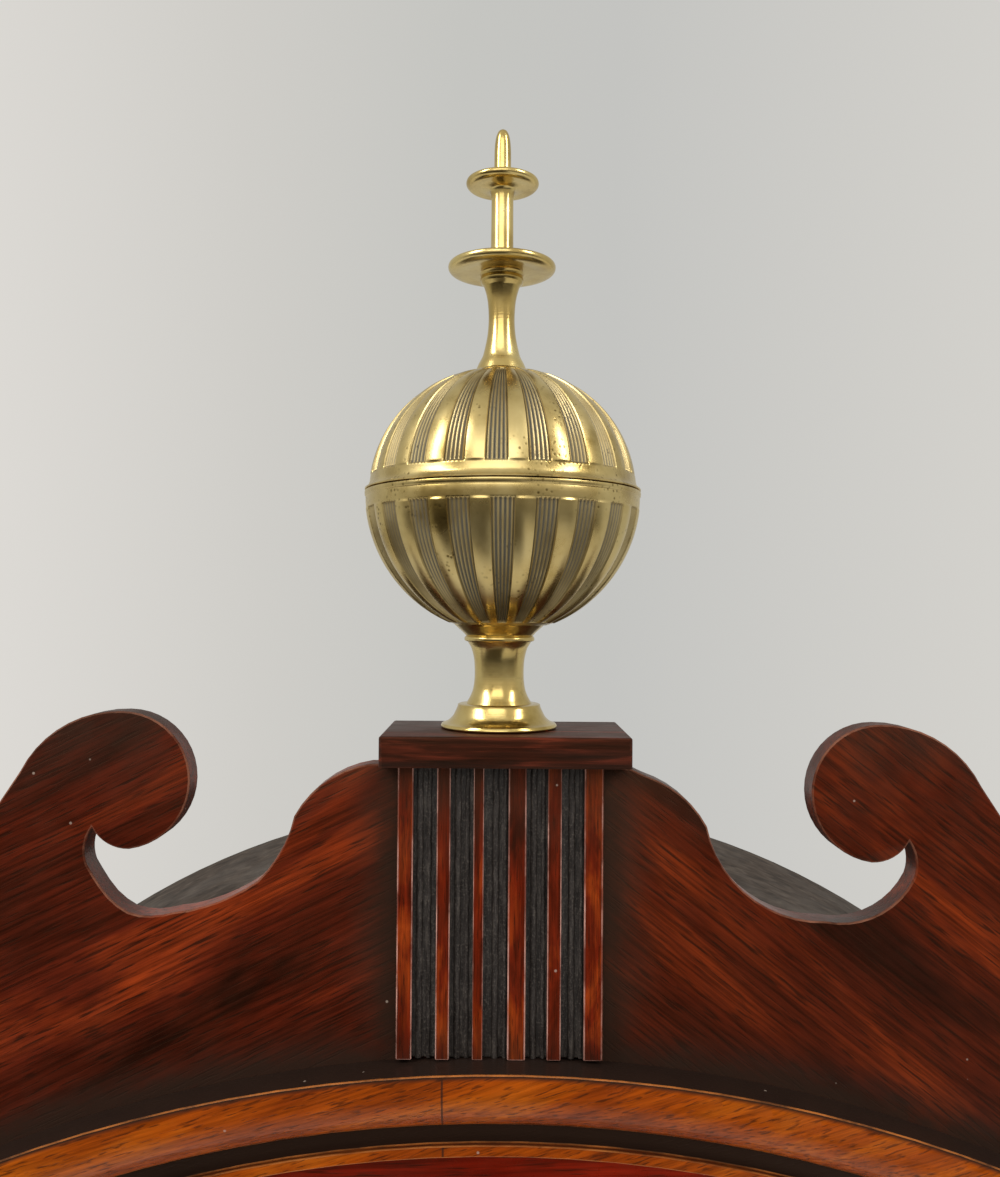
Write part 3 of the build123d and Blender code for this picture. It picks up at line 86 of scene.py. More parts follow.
class Mixer:
    # a node tree with short calls for the nodes that repeat; each call gives the node's output
    def __init__(self, tree):
        self.tree = tree
        self.shader = None

    def feed(self, node, values):
        # an input takes a link, a colour as hex text, or a plain value
        for name, value in values.items():
            if isinstance(value, bpy.types.NodeSocket):
                self.tree.links.new(value, node.inputs[name])
            else:
                node.inputs[name].default_value = colourOf(value) if isinstance(value, str) else value

    def add(self, kind, values=None, **settings):
        node = self.tree.nodes.new(kind)
        for name, setting in settings.items():
            setattr(node, name, setting)
        self.feed(node, values or {})
        return node.outputs

    def surface(self, values):
        self.feed(self.shader, values)

    def noise(self, where, scale, detail=2.0, roughness=0.5, distortion=0.0):
        return self.add("ShaderNodeTexNoise", {
            "Vector": where, "Scale": scale, "Detail": detail, "Roughness": roughness,
            "Distortion": distortion})["Fac"]

    def cells(self, where, scale, feature="F1"):
        return self.add("ShaderNodeTexVoronoi", {"Vector": where, "Scale": scale}, feature=feature)

    def mark(self, name):
        return self.add("ShaderNodeAttribute", attribute_name=name)["Fac"]

    def split(self, where):
        return self.add("ShaderNodeSeparateXYZ", {0: where})

    def span(self, value, low, high, toLow=0.0, toHigh=1.0, curve="LINEAR"):
        return self.add("ShaderNodeMapRange", {
            "Value": value, "From Min": low, "From Max": high, "To Min": toLow, "To Max": toHigh},
            interpolation_type=curve)[0]

    def maths(self, operation, *values, clamp=False):
        return self.add("ShaderNodeMath", dict(enumerate(values)), operation=operation, use_clamp=clamp)[0]

    def blend(self, share, under, over, kind="MIX"):
        values = {"Fac": share, "Color1": under, "Color2": over}
        return self.add("ShaderNodeMixRGB", values, blend_type=kind)[0]

    def ramp(self, value, *stops):
        node = self.tree.nodes.new("ShaderNodeValToRGB")
        self.feed(node, {"Fac": value})
        elements = node.color_ramp.elements
        while len(elements) < len(stops):
            elements.new(0.5)
        for element, (place, colour) in zip(elements, stops):
            element.position = place
            element.color = colourOf(colour) if isinstance(colour, str) else colour
        return node.outputs[0]

    def stretch(self, where, size, turn=(0, 0, 0)):
        # texture space whose unit is the given size in millimetres
        values = {"Vector": where, "Rotation": turn, "Scale": [side * mm for side in size]}
        return self.add("ShaderNodeMapping", values, vector_type="TEXTURE")[0]

    def bump(self, height, strength, distance, invert=False):
        # distance in millimetres
        relief = self.add("ShaderNodeBump", {
            "Height": height, "Strength": strength, "Distance": distance * mm}, invert=invert)[0]
        self.surface({"Normal": relief})


def startFinish(name):
    material = bpy.data.materials.new(name)
    material.use_nodes = True
    material.node_tree.nodes.clear()
    mix = Mixer(material.node_tree)
    mix.shader = mix.tree.nodes.new("ShaderNodeBsdfPrincipled")
    mix.add("ShaderNodeOutputMaterial", {"Surface": mix.shader.outputs[0]})
    return material, mix, mix.add("ShaderNodeTexCoord")["Object"]


def makeMesh(name, points, faces):
    mesh = bpy.data.meshes.new(name)
    mesh.from_pydata([tuple(point) for point in points], [], faces)
    mesh.update()
    return mesh


def smoothBelow(mesh, degreesLimit):
    mesh.shade_smooth()
    mesh.set_sharp_from_angle(angle=radians(degreesLimit))


def addPiece(name, mesh, body, finishes, hides=()):
    piece = bpy.data.objects.new(name, mesh)
    bpy.context.scene.collection.objects.link(piece)
    mesh.materials.clear()
    for finish in finishes:
        mesh.materials.append(finish)
    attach(piece, body)
    if hides:
        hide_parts(*hides)
    return piece


def throughTree(name, mesh, tree, values):
    # runs one mesh through a node tree and gives back the plain result
    holder = bpy.data.objects.new(name + "Maker", mesh)
    bpy.context.scene.collection.objects.link(holder)
    modifier = holder.modifiers.new(tree.name, "NODES")
    modifier.node_group = tree
    for item in tree.interface.items_tree:
        if item.in_out == "INPUT" and item.name in values:
            modifier[item.identifier] = values[item.name]
    bpy.context.view_layer.update()
    depsgraph = bpy.context.evaluated_depsgraph_get()
    baked = bpy.data.meshes.new_from_object(
        holder.evaluated_get(depsgraph), preserve_all_data_layers=True, depsgraph=depsgraph)
    bpy.data.objects.remove(holder)
    baked.name = name
    return baked


def startTree(name, inputs):
    tree = bpy.data.node_groups.new(name, "GeometryNodeTree")
    for label, kind in [("Geometry", "Geometry"), *inputs]:
        tree.interface.new_socket(label, in_out="INPUT", socket_type="NodeSocket" + kind)
    tree.interface.new_socket("Geometry", in_out="OUTPUT", socket_type="NodeSocketGeometry")
    make = Mixer(tree)
    return make, make.add("NodeGroupInput")


def endTree(make, shape, finish):
    real = make.add("GeometryNodeRealizeInstances", {"Geometry": shape})[0]
    painted = make.add("GeometryNodeSetMaterial", {"Geometry": real, "Material": finish})[0]
    make.add("NodeGroupOutput", {0: painted})
    return make.tree


def repeatRoundTree():
    # turns copies of a sector about an axis and welds their edges
    make, given = startTree("repeatRound", [
        ("Count", "Int"), ("Centre", "Vector"), ("Axis", "Vector"), ("Weld", "Float"),
        ("Finish", "Material")])
    back = make.add("ShaderNodeVectorMath", {0: given["Centre"], "Scale": -1.0}, operation="SCALE")[0]
    atHome = make.add("GeometryNodeTransform", {"Geometry": given["Geometry"], "Translation": back})[0]
    spots = make.add("GeometryNodePoints", {"Count": given["Count"], "Position": given["Centre"]})[0]
    step = make.maths("DIVIDE", tau, given["Count"])
    angle = make.maths("MULTIPLY", make.add("GeometryNodeInputIndex")[0], step)
    turn = make.add("ShaderNodeVectorMath", {0: given["Axis"], "Scale": angle}, operation="SCALE")[0]
    copies = make.add("GeometryNodeInstanceOnPoints", {
        "Points": spots, "Instance": atHome, "Rotation": turn})[0]
    real = make.add("GeometryNodeRealizeInstances", {"Geometry": copies})[0]
    welded = make.add("GeometryNodeMergeByDistance", {"Geometry": real, "Distance": given["Weld"]})[0]
    return endTree(make, welded, given["Finish"])


def repeatLineTree():
    # copies of one shape at even steps along a line
    make, given = startTree("repeatLine", [("Count", "Int"), ("Step", "Vector"), ("Finish", "Material")])
    spots = make.add("GeometryNodeMeshLine", {"Count": given["Count"], "Offset": given["Step"]})[0]
    copies = make.add("GeometryNodeInstanceOnPoints", {"Points": spots, "Instance": given["Geometry"]})[0]
    return endTree(make, copies, given["Finish"])


def screwTree():
    # slotted screw heads on points, facing front, each slot at its own angle
    make, given = startTree("slottedScrews", [
        ("Head radius", "Float"), ("Head height", "Float"), ("Seed", "Int"), ("Finish", "Material")])
    radius, height = given["Head radius"], given["Head height"]
    slot = {"length": 3.0, "width": 0.24, "lift": 0.62, "anyTurn": 1.5}  # shares of the radius and height
    head = make.add("GeometryNodeMeshCylinder", {"Vertices": 20, "Radius": radius, "Depth": height})["Mesh"]
    slotLength = make.maths("MULTIPLY", radius, slot["length"])
    slotWidth = make.maths("MULTIPLY", radius, slot["width"])
    slotSize = make.add("ShaderNodeCombineXYZ", {"X": slotLength, "Y": slotWidth, "Z": height})[0]
    slotBlock = make.add("GeometryNodeMeshCube", {"Size": slotSize})[0]
    lift = make.add("ShaderNodeCombineXYZ", {"Z": make.maths("MULTIPLY", height, slot["lift"])})[0]
    raised = make.add("GeometryNodeTransform", {"Geometry": slotBlock, "Translation": lift})[0]
    slotted = make.add("GeometryNodeMeshBoolean", {
        "Mesh 1": head, "Mesh 2": raised}, operation="DIFFERENCE")[0]
    facing = make.add("GeometryNodeTransform", {"Geometry": slotted, "Rotation": (radians(90), 0, 0)})[0]
    spin = make.add("FunctionNodeRandomValue", {
        2: -slot["anyTurn"], 3: slot["anyTurn"], "Seed": given["Seed"]})[1]
    turn = make.add("ShaderNodeCombineXYZ", {"Y": spin})[0]
    spots = make.add("GeometryNodeMeshToPoints", {"Mesh": given["Geometry"]})[0]
    copies = make.add("GeometryNodeInstanceOnPoints", {
        "Points": spots, "Instance": facing, "Rotation": turn})[0]
    return endTree(make, copies, given["Finish"])


repeatRound = repeatRoundTree()
repeatLine = repeatLineTree()
slottedScrews = screwTree()
print("node trees built")


# finishes
def frenchPolishedMahogany(name, look):
    # Mahogany, French-polished and two centuries old: long figure, short dark pores, a deep gloss,
    # pale worn corners, blackened polish where dust has settled, and painted shade where the look's mask marks
    # creases and overhangs.
    material, mix, where = startFinish(name)
    turn = [radians(angle) for angle in look["grain"]]
    figure = mix.noise(mix.stretch(where, look["figureSize"], turn), 1.0, 4.0, 0.6, 0.6)
    wood = mix.ramp(figure, *zip(look["spread"], look["tones"]))
    streak = mix.noise(mix.stretch(where, (0.7, 0.7, 22), turn), 1.0, 4.0, 0.65)
    streakTone = mix.ramp(streak, (0.34, (0.3, 0.26, 0.24, 1)), (0.62, (1.3, 1.25, 1.15, 1)))
    streaked = mix.blend(look["streaks"], wood, streakTone, "MULTIPLY")
    pore = mix.noise(mix.stretch(where, look["poreSize"], turn), 1.0, 1.5)
    pore = mix.ramp(pore, (0.56, (0, 0, 0, 1)), (0.68, (1, 1, 1, 1)))
    pored = mix.blend(mix.maths("MULTIPLY", pore, look["poreDark"]), streaked, look["poreColour"])
    breakup = mix.noise(where, 90.0, 5.0, 0.65)  # roughens every soft edge
    # the dark mask is dirt, and in some looks also painted shade in creases and under the cap
    dirtAndShade = look["dirtAndShadeMask"](mix, where, breakup)
    dirtiedAndShaded = mix.blend(dirtAndShade, pored, look["dirtAndShadeColour"])
    wear = mix.maths("MULTIPLY", mix.mark("wear"), mix.span(breakup, 0.4, 0.62, 0.15, 0.95))
    worn = mix.blend(wear, dirtiedAndShaded, look["wearColour"])
    speck = mix.cells(where, 260.0)  # dust, a little larger than real so that it shows
    speckRare = mix.maths("GREATER_THAN", mix.add("ShaderNodeSeparateColor", {0: speck["Color"]})[0], 0.93)
    speckShare = mix.maths("MULTIPLY", mix.span(speck["Distance"], 0.05, 0.09, 0.5, 0.0), speckRare)
    polish = mix.span(breakup, 0.3, 0.75, look["gloss"], look["gloss"] + 0.2)
    mix.surface({
        "Base Color": mix.blend(speckShare, worn, "#B9A99A"),
        "Roughness": mix.maths("MULTIPLY_ADD", dirtAndShade, 0.3, polish), "Coat Weight": look["coat"],
        "Coat Roughness": 0.07, "Specular IOR Level": 0.42, "Specular Tint": "#F0A878"})
    mix.bump(mix.maths("MULTIPLY_ADD", breakup, 0.5, pore), 0.25, 0.12, invert=True)
    return material


def patchyGrime(mix, where, breakup):
    return mix.span(mix.noise(where, 14.0, 4.0), 0.62, 0.85, 0.0, 0.45)


def fromArchCentre(mix, where):
    flat = mix.add("ShaderNodeVectorMath", {0: where, 1: (1, 0, 1)}, operation="MULTIPLY")[0]
    return mix.add("ShaderNodeVectorMath", {0: flat, 1: (0, 0, archZ)}, operation="DISTANCE")["Value"]


def crestDirtAndShade(mix, where, breakup):
    # painted shade with blackened polish beside the plinth and along the ledge, and black dirt on top of the
    # scrolls
    darkReach = {"plinthReach": 17 * mm, "ledgeReach": 13 * mm, "scrollLow": 38 * mm, "scrollHigh": 72 * mm,
            "scrollNear": 55 * mm, "scrollFar": 75 * mm}
    place = mix.split(where)
    across = mix.maths("ABSOLUTE", place["X"])
    edge = plinthBox[1].x
    besidePlinth = mix.span(across, edge - 1 * mm, edge + darkReach["plinthReach"], 1.0, 0.0, "SMOOTHSTEP")
    reach = fromArchCentre(mix, where)
    aboveLedge = mix.span(reach, archRadius, archRadius + darkReach["ledgeReach"], 1.0, 0.0, "SMOOTHSTEP")
    fromTop = mix.span(
        place["Z"], crestZ + darkReach["scrollLow"], crestZ + darkReach["scrollHigh"], 0.0, 0.8, "SMOOTHSTEP")
    outside = mix.span(across, darkReach["scrollNear"], darkReach["scrollFar"], 0.25, 1.0)
    scrollTop = mix.maths("MULTIPLY", fromTop, outside)
    most = mix.maths("MAXIMUM", mix.maths("MAXIMUM", besidePlinth, aboveLedge), scrollTop)
    rough = mix.maths("MULTIPLY_ADD", breakup, 1.1, -0.5)
    total = mix.maths("ADD", most, rough, clamp=True)
    return mix.maths("MULTIPLY", mix.maths("MULTIPLY", total, most), 0.95)


def ledgeDirtAndShade(mix, where, breakup):
    # painted shade and dirt on the moulding's ledge and in its hollow, and the dark joint between its two lengths
    darkReach = {"ledge": (1.4, 0.2), "hollowTop": (11.9, 10.7), "hollowFoot": (16.9, 16.3), "jointLeft": 11.2 * mm}
    reach = fromArchCentre(mix, where)
    depths = {part: [archRadius - depth * mm for depth in darkReach[part]]
              for part in ("ledge", "hollowTop", "hollowFoot")}
    ledge = mix.span(reach, *depths["ledge"], curve="SMOOTHSTEP")
    hollowTop = mix.span(reach, *depths["hollowTop"], 1.0, 0.0)
    hollow = mix.maths("MULTIPLY", hollowTop, mix.span(reach, *depths["hollowFoot"]))
    fromJoint = mix.maths("ABSOLUTE", mix.maths("ADD", mix.split(where)["X"], darkReach["jointLeft"]))
    joint = mix.span(fromJoint, 0.12 * mm, 0.3 * mm, 0.8, 0.0)
    return mix.maths("MAXIMUM", mix.maths("MAXIMUM", ledge, hollow), joint)


def filletPaintedShade(mix, where, breakup):
    # painted shade: the fillets are darkest under the cap and a little dark at their feet
    darkReach = {"capReach": 26 * mm, "footReach": 9 * mm}
    height = mix.split(where)["Z"]
    low, high = plinthBox[0].z, plinthBox[1].z
    upper = mix.span(height, high - darkReach["capReach"], high, 0.0, 0.85, "SMOOTHSTEP")
    foot = mix.span(height, low, low + darkReach["footReach"], 0.55, 0.0, "SMOOTHSTEP")
    return mix.maths("MULTIPLY", mix.maths("MAXIMUM", upper, foot), mix.span(breakup, 0.3, 0.6, 0.5))


boardLook = {
    "tones": ("#240804", "#521709", "#8E3410"), "spread": (0.34, 0.53, 0.74), "figureSize": (20, 20, 90),
    "poreSize": (0.55, 0.55, 7.0), "poreColour": "#1B0A06", "poreDark": 0.75, "dirtAndShadeColour": "#1E1916",
    "wearColour": "#7E5240", "gloss": 0.3, "coat": 0.04, "streaks": 0.85, "dirtAndShadeMask": crestDirtAndShade}
leftBoardFinish = frenchPolishedMahogany("frenchPolishedMahoganyLeftBoard", {**boardLook, "grain": (0, 64, 0)})
# the right board's copy has slightly darker tones than the left's and its grain turned the other way
rightBoardFinish = frenchPolishedMahogany("frenchPolishedMahoganyRightBoard", {
    **boardLook, "grain": (0, 128, 0), "tones": ("#220805", "#4B1608", "#84310E")})
caseLook = {
    "tones": ("#340D05", "#5E1E0B", "#8A3815"), "spread": (0.32, 0.52, 0.74), "figureSize": (30, 30, 260),
    "poreSize": (0.6, 0.6, 9.0), "poreColour": "#200C06", "poreDark": 0.6, "dirtAndShadeColour": "#231712",
    "wearColour": "#9A5F3C", "gloss": 0.26, "coat": 0.1, "streaks": 0.8, "grain": (0, 0, 0),
    "dirtAndShadeMask": patchyGrime}
uprightFinish = frenchPolishedMahogany("frenchPolishedMahoganyUpright", caseLook)
crossFinish = frenchPolishedMahogany("frenchPolishedMahoganyCross", {**caseLook, "grain": (0, 90, 0)})
flameFinish = frenchPolishedMahogany("figuredMahoganyVeneer", {
    **caseLook, "figureSize": (42, 42, 95), "grain": (0, 24, 0), "tones": ("#3E150A", "#74301A", "#A0522A")})
filletFinish = frenchPolishedMahogany("polishedMahoganyFillets", {
    **caseLook, "tones": ("#340A04", "#661B08", "#9E4212"), "figureSize": (8, 8, 26),
    "poreSize": (0.3, 0.3, 4.0), "wearColour": "#C8988A", "gloss": 0.24, "dirtAndShadeMask": filletPaintedShade})
capFinish = frenchPolishedMahogany("darkenedMahoganyCap", {
    **caseLook, "tones": ("#170B08", "#34130C", "#6A2A1C"), "grain": (0, 90, 0), "figureSize": (1.6, 1.6, 22),
    "wearColour": "#8E3F26", "poreDark": 0.4, "gloss": 0.5, "coat": 0.06})
corniceFinish = frenchPolishedMahogany("polishedMahoganyCornice", {
    **caseLook, "tones": ("#64220A", "#9C4508", "#C86E18"), "spread": (0.28, 0.5, 0.75), "grain": (0, 72, 0),
    "figureSize": (14, 14, 70), "poreSize": (0.45, 0.45, 3.6), "poreColour": "#3A1A0A", "poreDark": 0.7,
    "dirtAndShadeColour": "#1C1512", "wearColour": "#A9642C", "gloss": 0.13, "coat": 0.12, "streaks": 0.55,
    "dirtAndShadeMask": ledgeDirtAndShade})
friezeFinish = frenchPolishedMahogany("redMahoganyFrieze", {
    **caseLook, "tones": ("#540A03", "#861805", "#A82A10"), "grain": (0, 88, 0), "figureSize": (10, 10, 90),
    "gloss": 0.2, "coat": 0.05, "streaks": 0.5})


def blackenedPolish():
    # Old polish and wax gone black in the flutes: uneven, half dull, with a grey bloom on its high spots.
    material, mix, where = startFinish("blackenedPolish")
    crust = mix.noise(mix.stretch(where, (0.8, 0.8, 6)), 1.0, 5.0, 0.7)
    grit = mix.noise(where, 2600.0, 2.0, 0.6)
    tone = mix.ramp(crust, (0.35, "#16110F"), (0.55, "#2A2421"), (0.72, "#4A433C"))
    mix.surface({
        "Base Color": mix.blend(mix.span(grit, 0.52, 0.75, 0.0, 0.6), tone, "#665D54"),
        "Roughness": mix.span(crust, 0.3, 0.7, 0.3, 0.6)})
    mix.bump(mix.maths("MULTIPLY_ADD", grit, 0.45, crust), 0.6, 0.25)
    return material


def dustyPine():
    # Unpolished pine, grey-brown with age and dust: dull, with soft long grain.
    material, mix, where = startFinish("dustyPine")
    rings = mix.noise(mix.stretch(where, (7, 7, 160)), 1.0, 4.0, distortion=0.8)
    tone = mix.ramp(rings, (0.3, "#2E2722"), (0.55, "#463C34"), (0.75, "#5A5047"))
    dust = mix.span(mix.noise(where, 22.0, 6.0, 0.7), 0.45, 0.75, 0.0, 0.55)
    mix.surface({
        "Base Color": mix.blend(dust, tone, "#66605A"), "Roughness": 0.85, "Specular IOR Level": 0.15})
    mix.bump(rings, 0.3, 0.3)
    return material


def castBrass(name, look):
    # Cast and turned brass, hand-polished: warm yellow with brown shading, fine pits from the mould,
    # and grey tarnish left wherever the "tarnish" attribute marks a hollow.
    material, mix, where = startFinish(name)
    cloud = mix.noise(where, 75.0, 5.0, 0.6)
    tone = mix.ramp(cloud, *zip((0.3, 0.5, 0.72), look["tones"]))
    hollow = mix.maths("MULTIPLY", mix.mark("tarnish"), mix.span(cloud, 0.3, 0.6, 0.7))
    pitDot = mix.span(mix.cells(where, 900.0)["Distance"], 0.12, 0.34, 1.0, 0.0)
    pits = mix.maths("MULTIPLY", pitDot, mix.span(mix.noise(where, 130.0), 0.5, 0.62, 0.0, look["pits"]))
    rubbed = mix.span(cloud, 0.3, 0.7, look["gloss"], look["gloss"] + 0.14)
    mix.surface({
        "Base Color": mix.blend(hollow, mix.blend(pits, tone, "#6E5A2C"), "#77746A"),
        "Metallic": mix.span(hollow, 0.0, 1.0, 1.0, 0.35),
        "Roughness": mix.maths("MULTIPLY_ADD", hollow, 0.3, rubbed)})
    lathe = mix.noise(mix.stretch(where, (50, 50, 0.35)), 1.0)
    mix.bump(mix.maths("MULTIPLY_ADD", lathe, look["lathe"], pits), 0.35, 0.08, invert=True)
    return material


ballFinish = castBrass("castBrassBall", {
    "tones": ("#A58C50", "#CBB478", "#DCC88E"), "pits": 0.9, "gloss": 0.22, "lathe": 0.15})
turnedFinish = castBrass("turnedPolishedBrass", {
    "tones": ("#AE9352", "#CFB674", "#DECA8C"), "pits": 0.25, "gloss": 0.15, "lathe": 0.5})
movementFinish = castBrass("hammeredSheetBrass", {
    "tones": ("#8E7434", "#AE9148", "#C2A65C"), "pits": 0.1, "gloss": 0.3, "lathe": 0.2})
bellFinish = castBrass("turnedBellMetal", {
    "tones": ("#8C8258", "#A99E70", "#BFB586"), "pits": 0.2, "gloss": 0.24, "lathe": 0.8})


def plainMetal(name, tones, gloss, grainScale, metallic=1.0):
    material, mix, where = startFinish(name)
    cloud = mix.noise(where, grainScale, 5.0, 0.65)
    mix.surface({
        "Base Color": mix.ramp(cloud, *zip((0.35, 0.68), tones)),
        "Roughness": mix.span(cloud, 0.3, 0.7, gloss, gloss + 0.2), "Metallic": metallic})
    mix.bump(cloud, 0.2, 0.1)
    return material


def crownGlass():
    # Window glass of the period: clear, faintly green, with a slow ripple.
    material, mix, where = startFinish("crownGlass")
    mix.surface({
        "Base Color": "#EAF2EC", "Roughness": 0.02, "IOR": 1.5, "Transmission Weight": 1.0, "Alpha": 0.28})
    mix.bump(mix.noise(where, 16.0, 1.0), 0.12, 0.6)
    return material


def japannedIron():
    # White-painted iron dial: warm off-white, slightly yellowed, with hair cracks under old varnish.
    material, mix, where = startFinish("japannedIron")
    tone = mix.ramp(mix.noise(where, 9.0, 5.0), (0.3, "#D8CDB2"), (0.65, "#E9E2CE"))
    crack = mix.span(mix.cells(where, 55.0, "DISTANCE_TO_EDGE")["Distance"], 0.0, 0.012, 0.35, 0.0)
    mix.surface({"Base Color": mix.blend(crack, tone, "#8A7A5A"), "Roughness": 0.32, "Coat Weight": 0.3})
    return material


def plainPaint(name, tones, roughness, grainScale):
    material, mix, where = startFinish(name)
    tone = mix.ramp(mix.noise(where, grainScale, 4.0), *zip((0.35, 0.65), tones))
    mix.surface({"Base Color": tone, "Roughness": roughness})
    return material


steelFinish = plainMetal("filedSteel", ("#6A6A6C", "#96979A"), 0.28, 240.0)  # filed, then burnished
bluedFinish = plainMetal("heatBluedSteel", ("#0B1430", "#22336A"), 0.2, 90.0)  # oxide blue, glossy
ironFinish = plainMetal("blackPaintedCastIron", ("#121212", "#2B2926"), 0.42, 320.0, 0.3)  # sandy casting
giltFinish = plainMetal("dullGilding", ("#9A7A34", "#D0AC58"), 0.38, 300.0)  # leaf on paint
dialInk = plainPaint("blackDialInk", ("#15120F", "#2A251F"), 0.5, 400.0)  # brushed by hand, a little thin
boxwoodFinish = plainPaint("boxwoodStringing", ("#A9834A", "#CDA869"), 0.35, 300.0)  # pale inlaid line
gutFinish = plainPaint("twistedGut", ("#8F7440", "#C4A566"), 0.45, 700.0)  # translucent yellow line
fluteFinish = blackenedPolish()
pineFinish = dustyPine()
glassFinish = crownGlass()
dialFinish = japannedIron()
print("finishes mixed")


def faceOutward(mesh, smallest=0):
    work = bmesh.new()
    work.from_mesh(mesh)
    if smallest:
        bmesh.ops.dissolve_degenerate(work, edges=work.edges, dist=smallest)
    bmesh.ops.recalc_face_normals(work, faces=work.faces)
    work.to_mesh(mesh)
    work.free()


# dressed wooden and brass parts: the CAD shape with its sharp edges rubbed round
rubbing = {"weld": 0.004 * mm, "flatDegrees": 0.6, "sharpDegrees": 28, "shortest": 0.6 * mm,
           "smoothDegrees": 20}


def rubbedMesh(node, edgeRadius):
    # a welded copy of a node's mesh; the small faces made on its edges carry the mark "wear"
    work = bmesh.new()
    work.from_mesh(nodes[node].data)
    bmesh.ops.remove_doubles(work, verts=work.verts, dist=rubbing["weld"])
    bmesh.ops.dissolve_limit(
        work, angle_limit=radians(rubbing["flatDegrees"]), verts=work.verts, edges=work.edges)
    wear = work.faces.layers.float.new("wear")
    sharp = [edge for edge in work.edges if edgeRadius and len(edge.link_faces) == 2
             and edge.calc_face_angle(0) > radians(rubbing["sharpDegrees"])
             and edge.calc_length() > rubbing["shortest"]]
    if sharp:
        rounded = bmesh.ops.bevel(work, geom=sharp, offset=edgeRadius, offset_type="OFFSET", segments=2,
                                  profile=0.5, affect="EDGES", clamp_overlap=True)
        for face in rounded["faces"]:
            face[wear] = 1.0
    bmesh.ops.triangulate(work, faces=[face for face in work.faces if len(face.verts) > 4])
    mesh = bpy.data.meshes.new(node + "Rubbed")
    work.to_mesh(mesh)
    work.free()
    smoothBelow(mesh, rubbing["smoothDegrees"])
    return mesh


def dressNode(node, pieceName, edgeRadius, finishes, pickFinish=None):
    mesh = rubbedMesh(node, edgeRadius)
    piece = addPiece(pieceName, mesh, bodyOfNode[node], finishes, [node])
    if pickFinish:
        for face in mesh.polygons:
            face.material_index = pickFinish(face.center, face.normal)
    return piece


edgeRounding = {
    "crest": 0.35 * mm,  # thin fretted boards and fillets
    "cap": 0.7 * mm,
    "moulding": 0.25 * mm,
}


def shareBetween(knots, place):
    # straight runs between pairs of place and value, level beyond both ends
    for (low, lowValue), (high, highValue) in zip(knots, knots[1:]):
        if place < high:
            return lowValue + (highValue - lowValue) * max(place - low, 0) / (high - low)
    return knots[-1][1]


handCut = {
    # millimetres left and right of the middle, and how far the fretsaw left the outline from true
    "boardRise": [(24, 0.0), (30, -1.5), (110, -1.9)],
    "throatRise": [(-84, 0.0), (-80, -1.3), (-76, -1.8), (-71, -1.2), (-66, -0.6), (-60, 0.1), (-54, 0.2),
                   (-48, -0.7), (-44, -0.8), (-40, 0.0)],
    "throatTop": 27.0, "throatBlend": 4.0,  # below the finial's foot: the left board's cut under its scroll
    "boardHeel": 25.0,  # the feet of the boards stay on the moulding
    "filletEdges": [(0, 0), (3.1, 3.2), (7.78, 8.0), (10.88, 10.8), (15.56, 15.5), (18.66, 17.6),
                    (23.34, 22.6), (26.44, 26.3), (31.12, 30.65), (34.22, 33.5), (38.9, 38.1), (42, 41.95)],
    "filletDepth": 0.25,  # behind this the plinth's front is flute
    "capShift": 0.9, "capCorner": 1.6, "friezeHalf": 230,
}
swanNeckBoards = dressNode(
    "pediment_boards", "swanNeckBoards", edgeRounding["crest"], [leftBoardFinish, rightBoardFinish],
    lambda centre, normal: 0 if centre.x < 0 else 1)
for point in swanNeckBoards.data.vertices:
    ledge = archZ + sqrt(max(archRadius ** 2 - point.co.x ** 2, 0))
    heel = min(max((point.co.z - ledge) / mm / handCut["boardHeel"], 0), 1)
    inThroat = min(max(((finialZ - point.co.z) / mm - handCut["throatTop"]) / handCut["throatBlend"], 0), 1)
    rise = shareBetween(handCut["boardRise"], point.co.x / mm)
    rise += shareBetween(handCut["throatRise"], point.co.x / mm) * inThroat
    point.co.z += rise * heel * mm
plinthBlock = dressNode(
    "fluted_plinth", "plinthBlock", edgeRounding["crest"] * 0.7, [filletFinish, fluteFinish],
    lambda centre, normal: 1 if centre.y > plinthFront + handCut["filletDepth"] * mm or normal.z > 0.5 else 0)
for point in plinthBlock.data.vertices:
    across = (point.co.x - plinthBox[0].x) / mm
    point.co.x = plinthBox[0].x + shareBetween(handCut["filletEdges"], across) * mm
capBlock = dressNode("plinth_cap", "capBlock", edgeRounding["cap"], [capFinish])
capLow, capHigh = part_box("plinth_cap")
for point in capBlock.data.vertices:
    # the front corners are rubbed round and the whole cap sits a little to the right
    corner = handCut["capCorner"] * mm
    inX = max(abs(point.co.x) - (capHigh.x - corner), 0) / corner
    inY = max((capLow.y + corner) - point.co.y, 0) / corner
    if inX > 0 and inY > 0:
        pull = 1 - 1 / max(hypot(inX, inY), 1)
        point.co.x -= (1 if point.co.x > 0 else -1) * inX * pull * corner
        point.co.y += inY * pull * corner
    point.co.x += handCut["capShift"] * mm
dressNode("arch_moulding", "archedCornice", edgeRounding["moulding"], [corniceFinish])
dressNode("cornice_returns", "corniceReturns", edgeRounding["moulding"], [corniceFinish])
dressNode("hood_frieze", "friezeBoard", edgeRounding["crest"], [friezeFinish, uprightFinish],
          lambda centre, normal: 0 if abs(centre.x) < handCut["friezeHalf"] * mm else 1)
dressNode("hood_roof", "bentRoof", edgeRounding["crest"], [pineFinish])
print("hood crest dressed")


def tubeFaces(base, rings, sides):
    # the wall between rings of points, then both ends
    faces = []
    for ring in range(rings - 1):
        for side in range(sides):
            a = base + ring * sides + side
            b = base + ring * sides + (side + 1) % sides
            faces.append((a, b, b + sides, a + sides))
    last = base + (rings - 1) * sides
    return faces + [tuple(reversed(range(base, base + sides))), tuple(range(last, last + sides))]


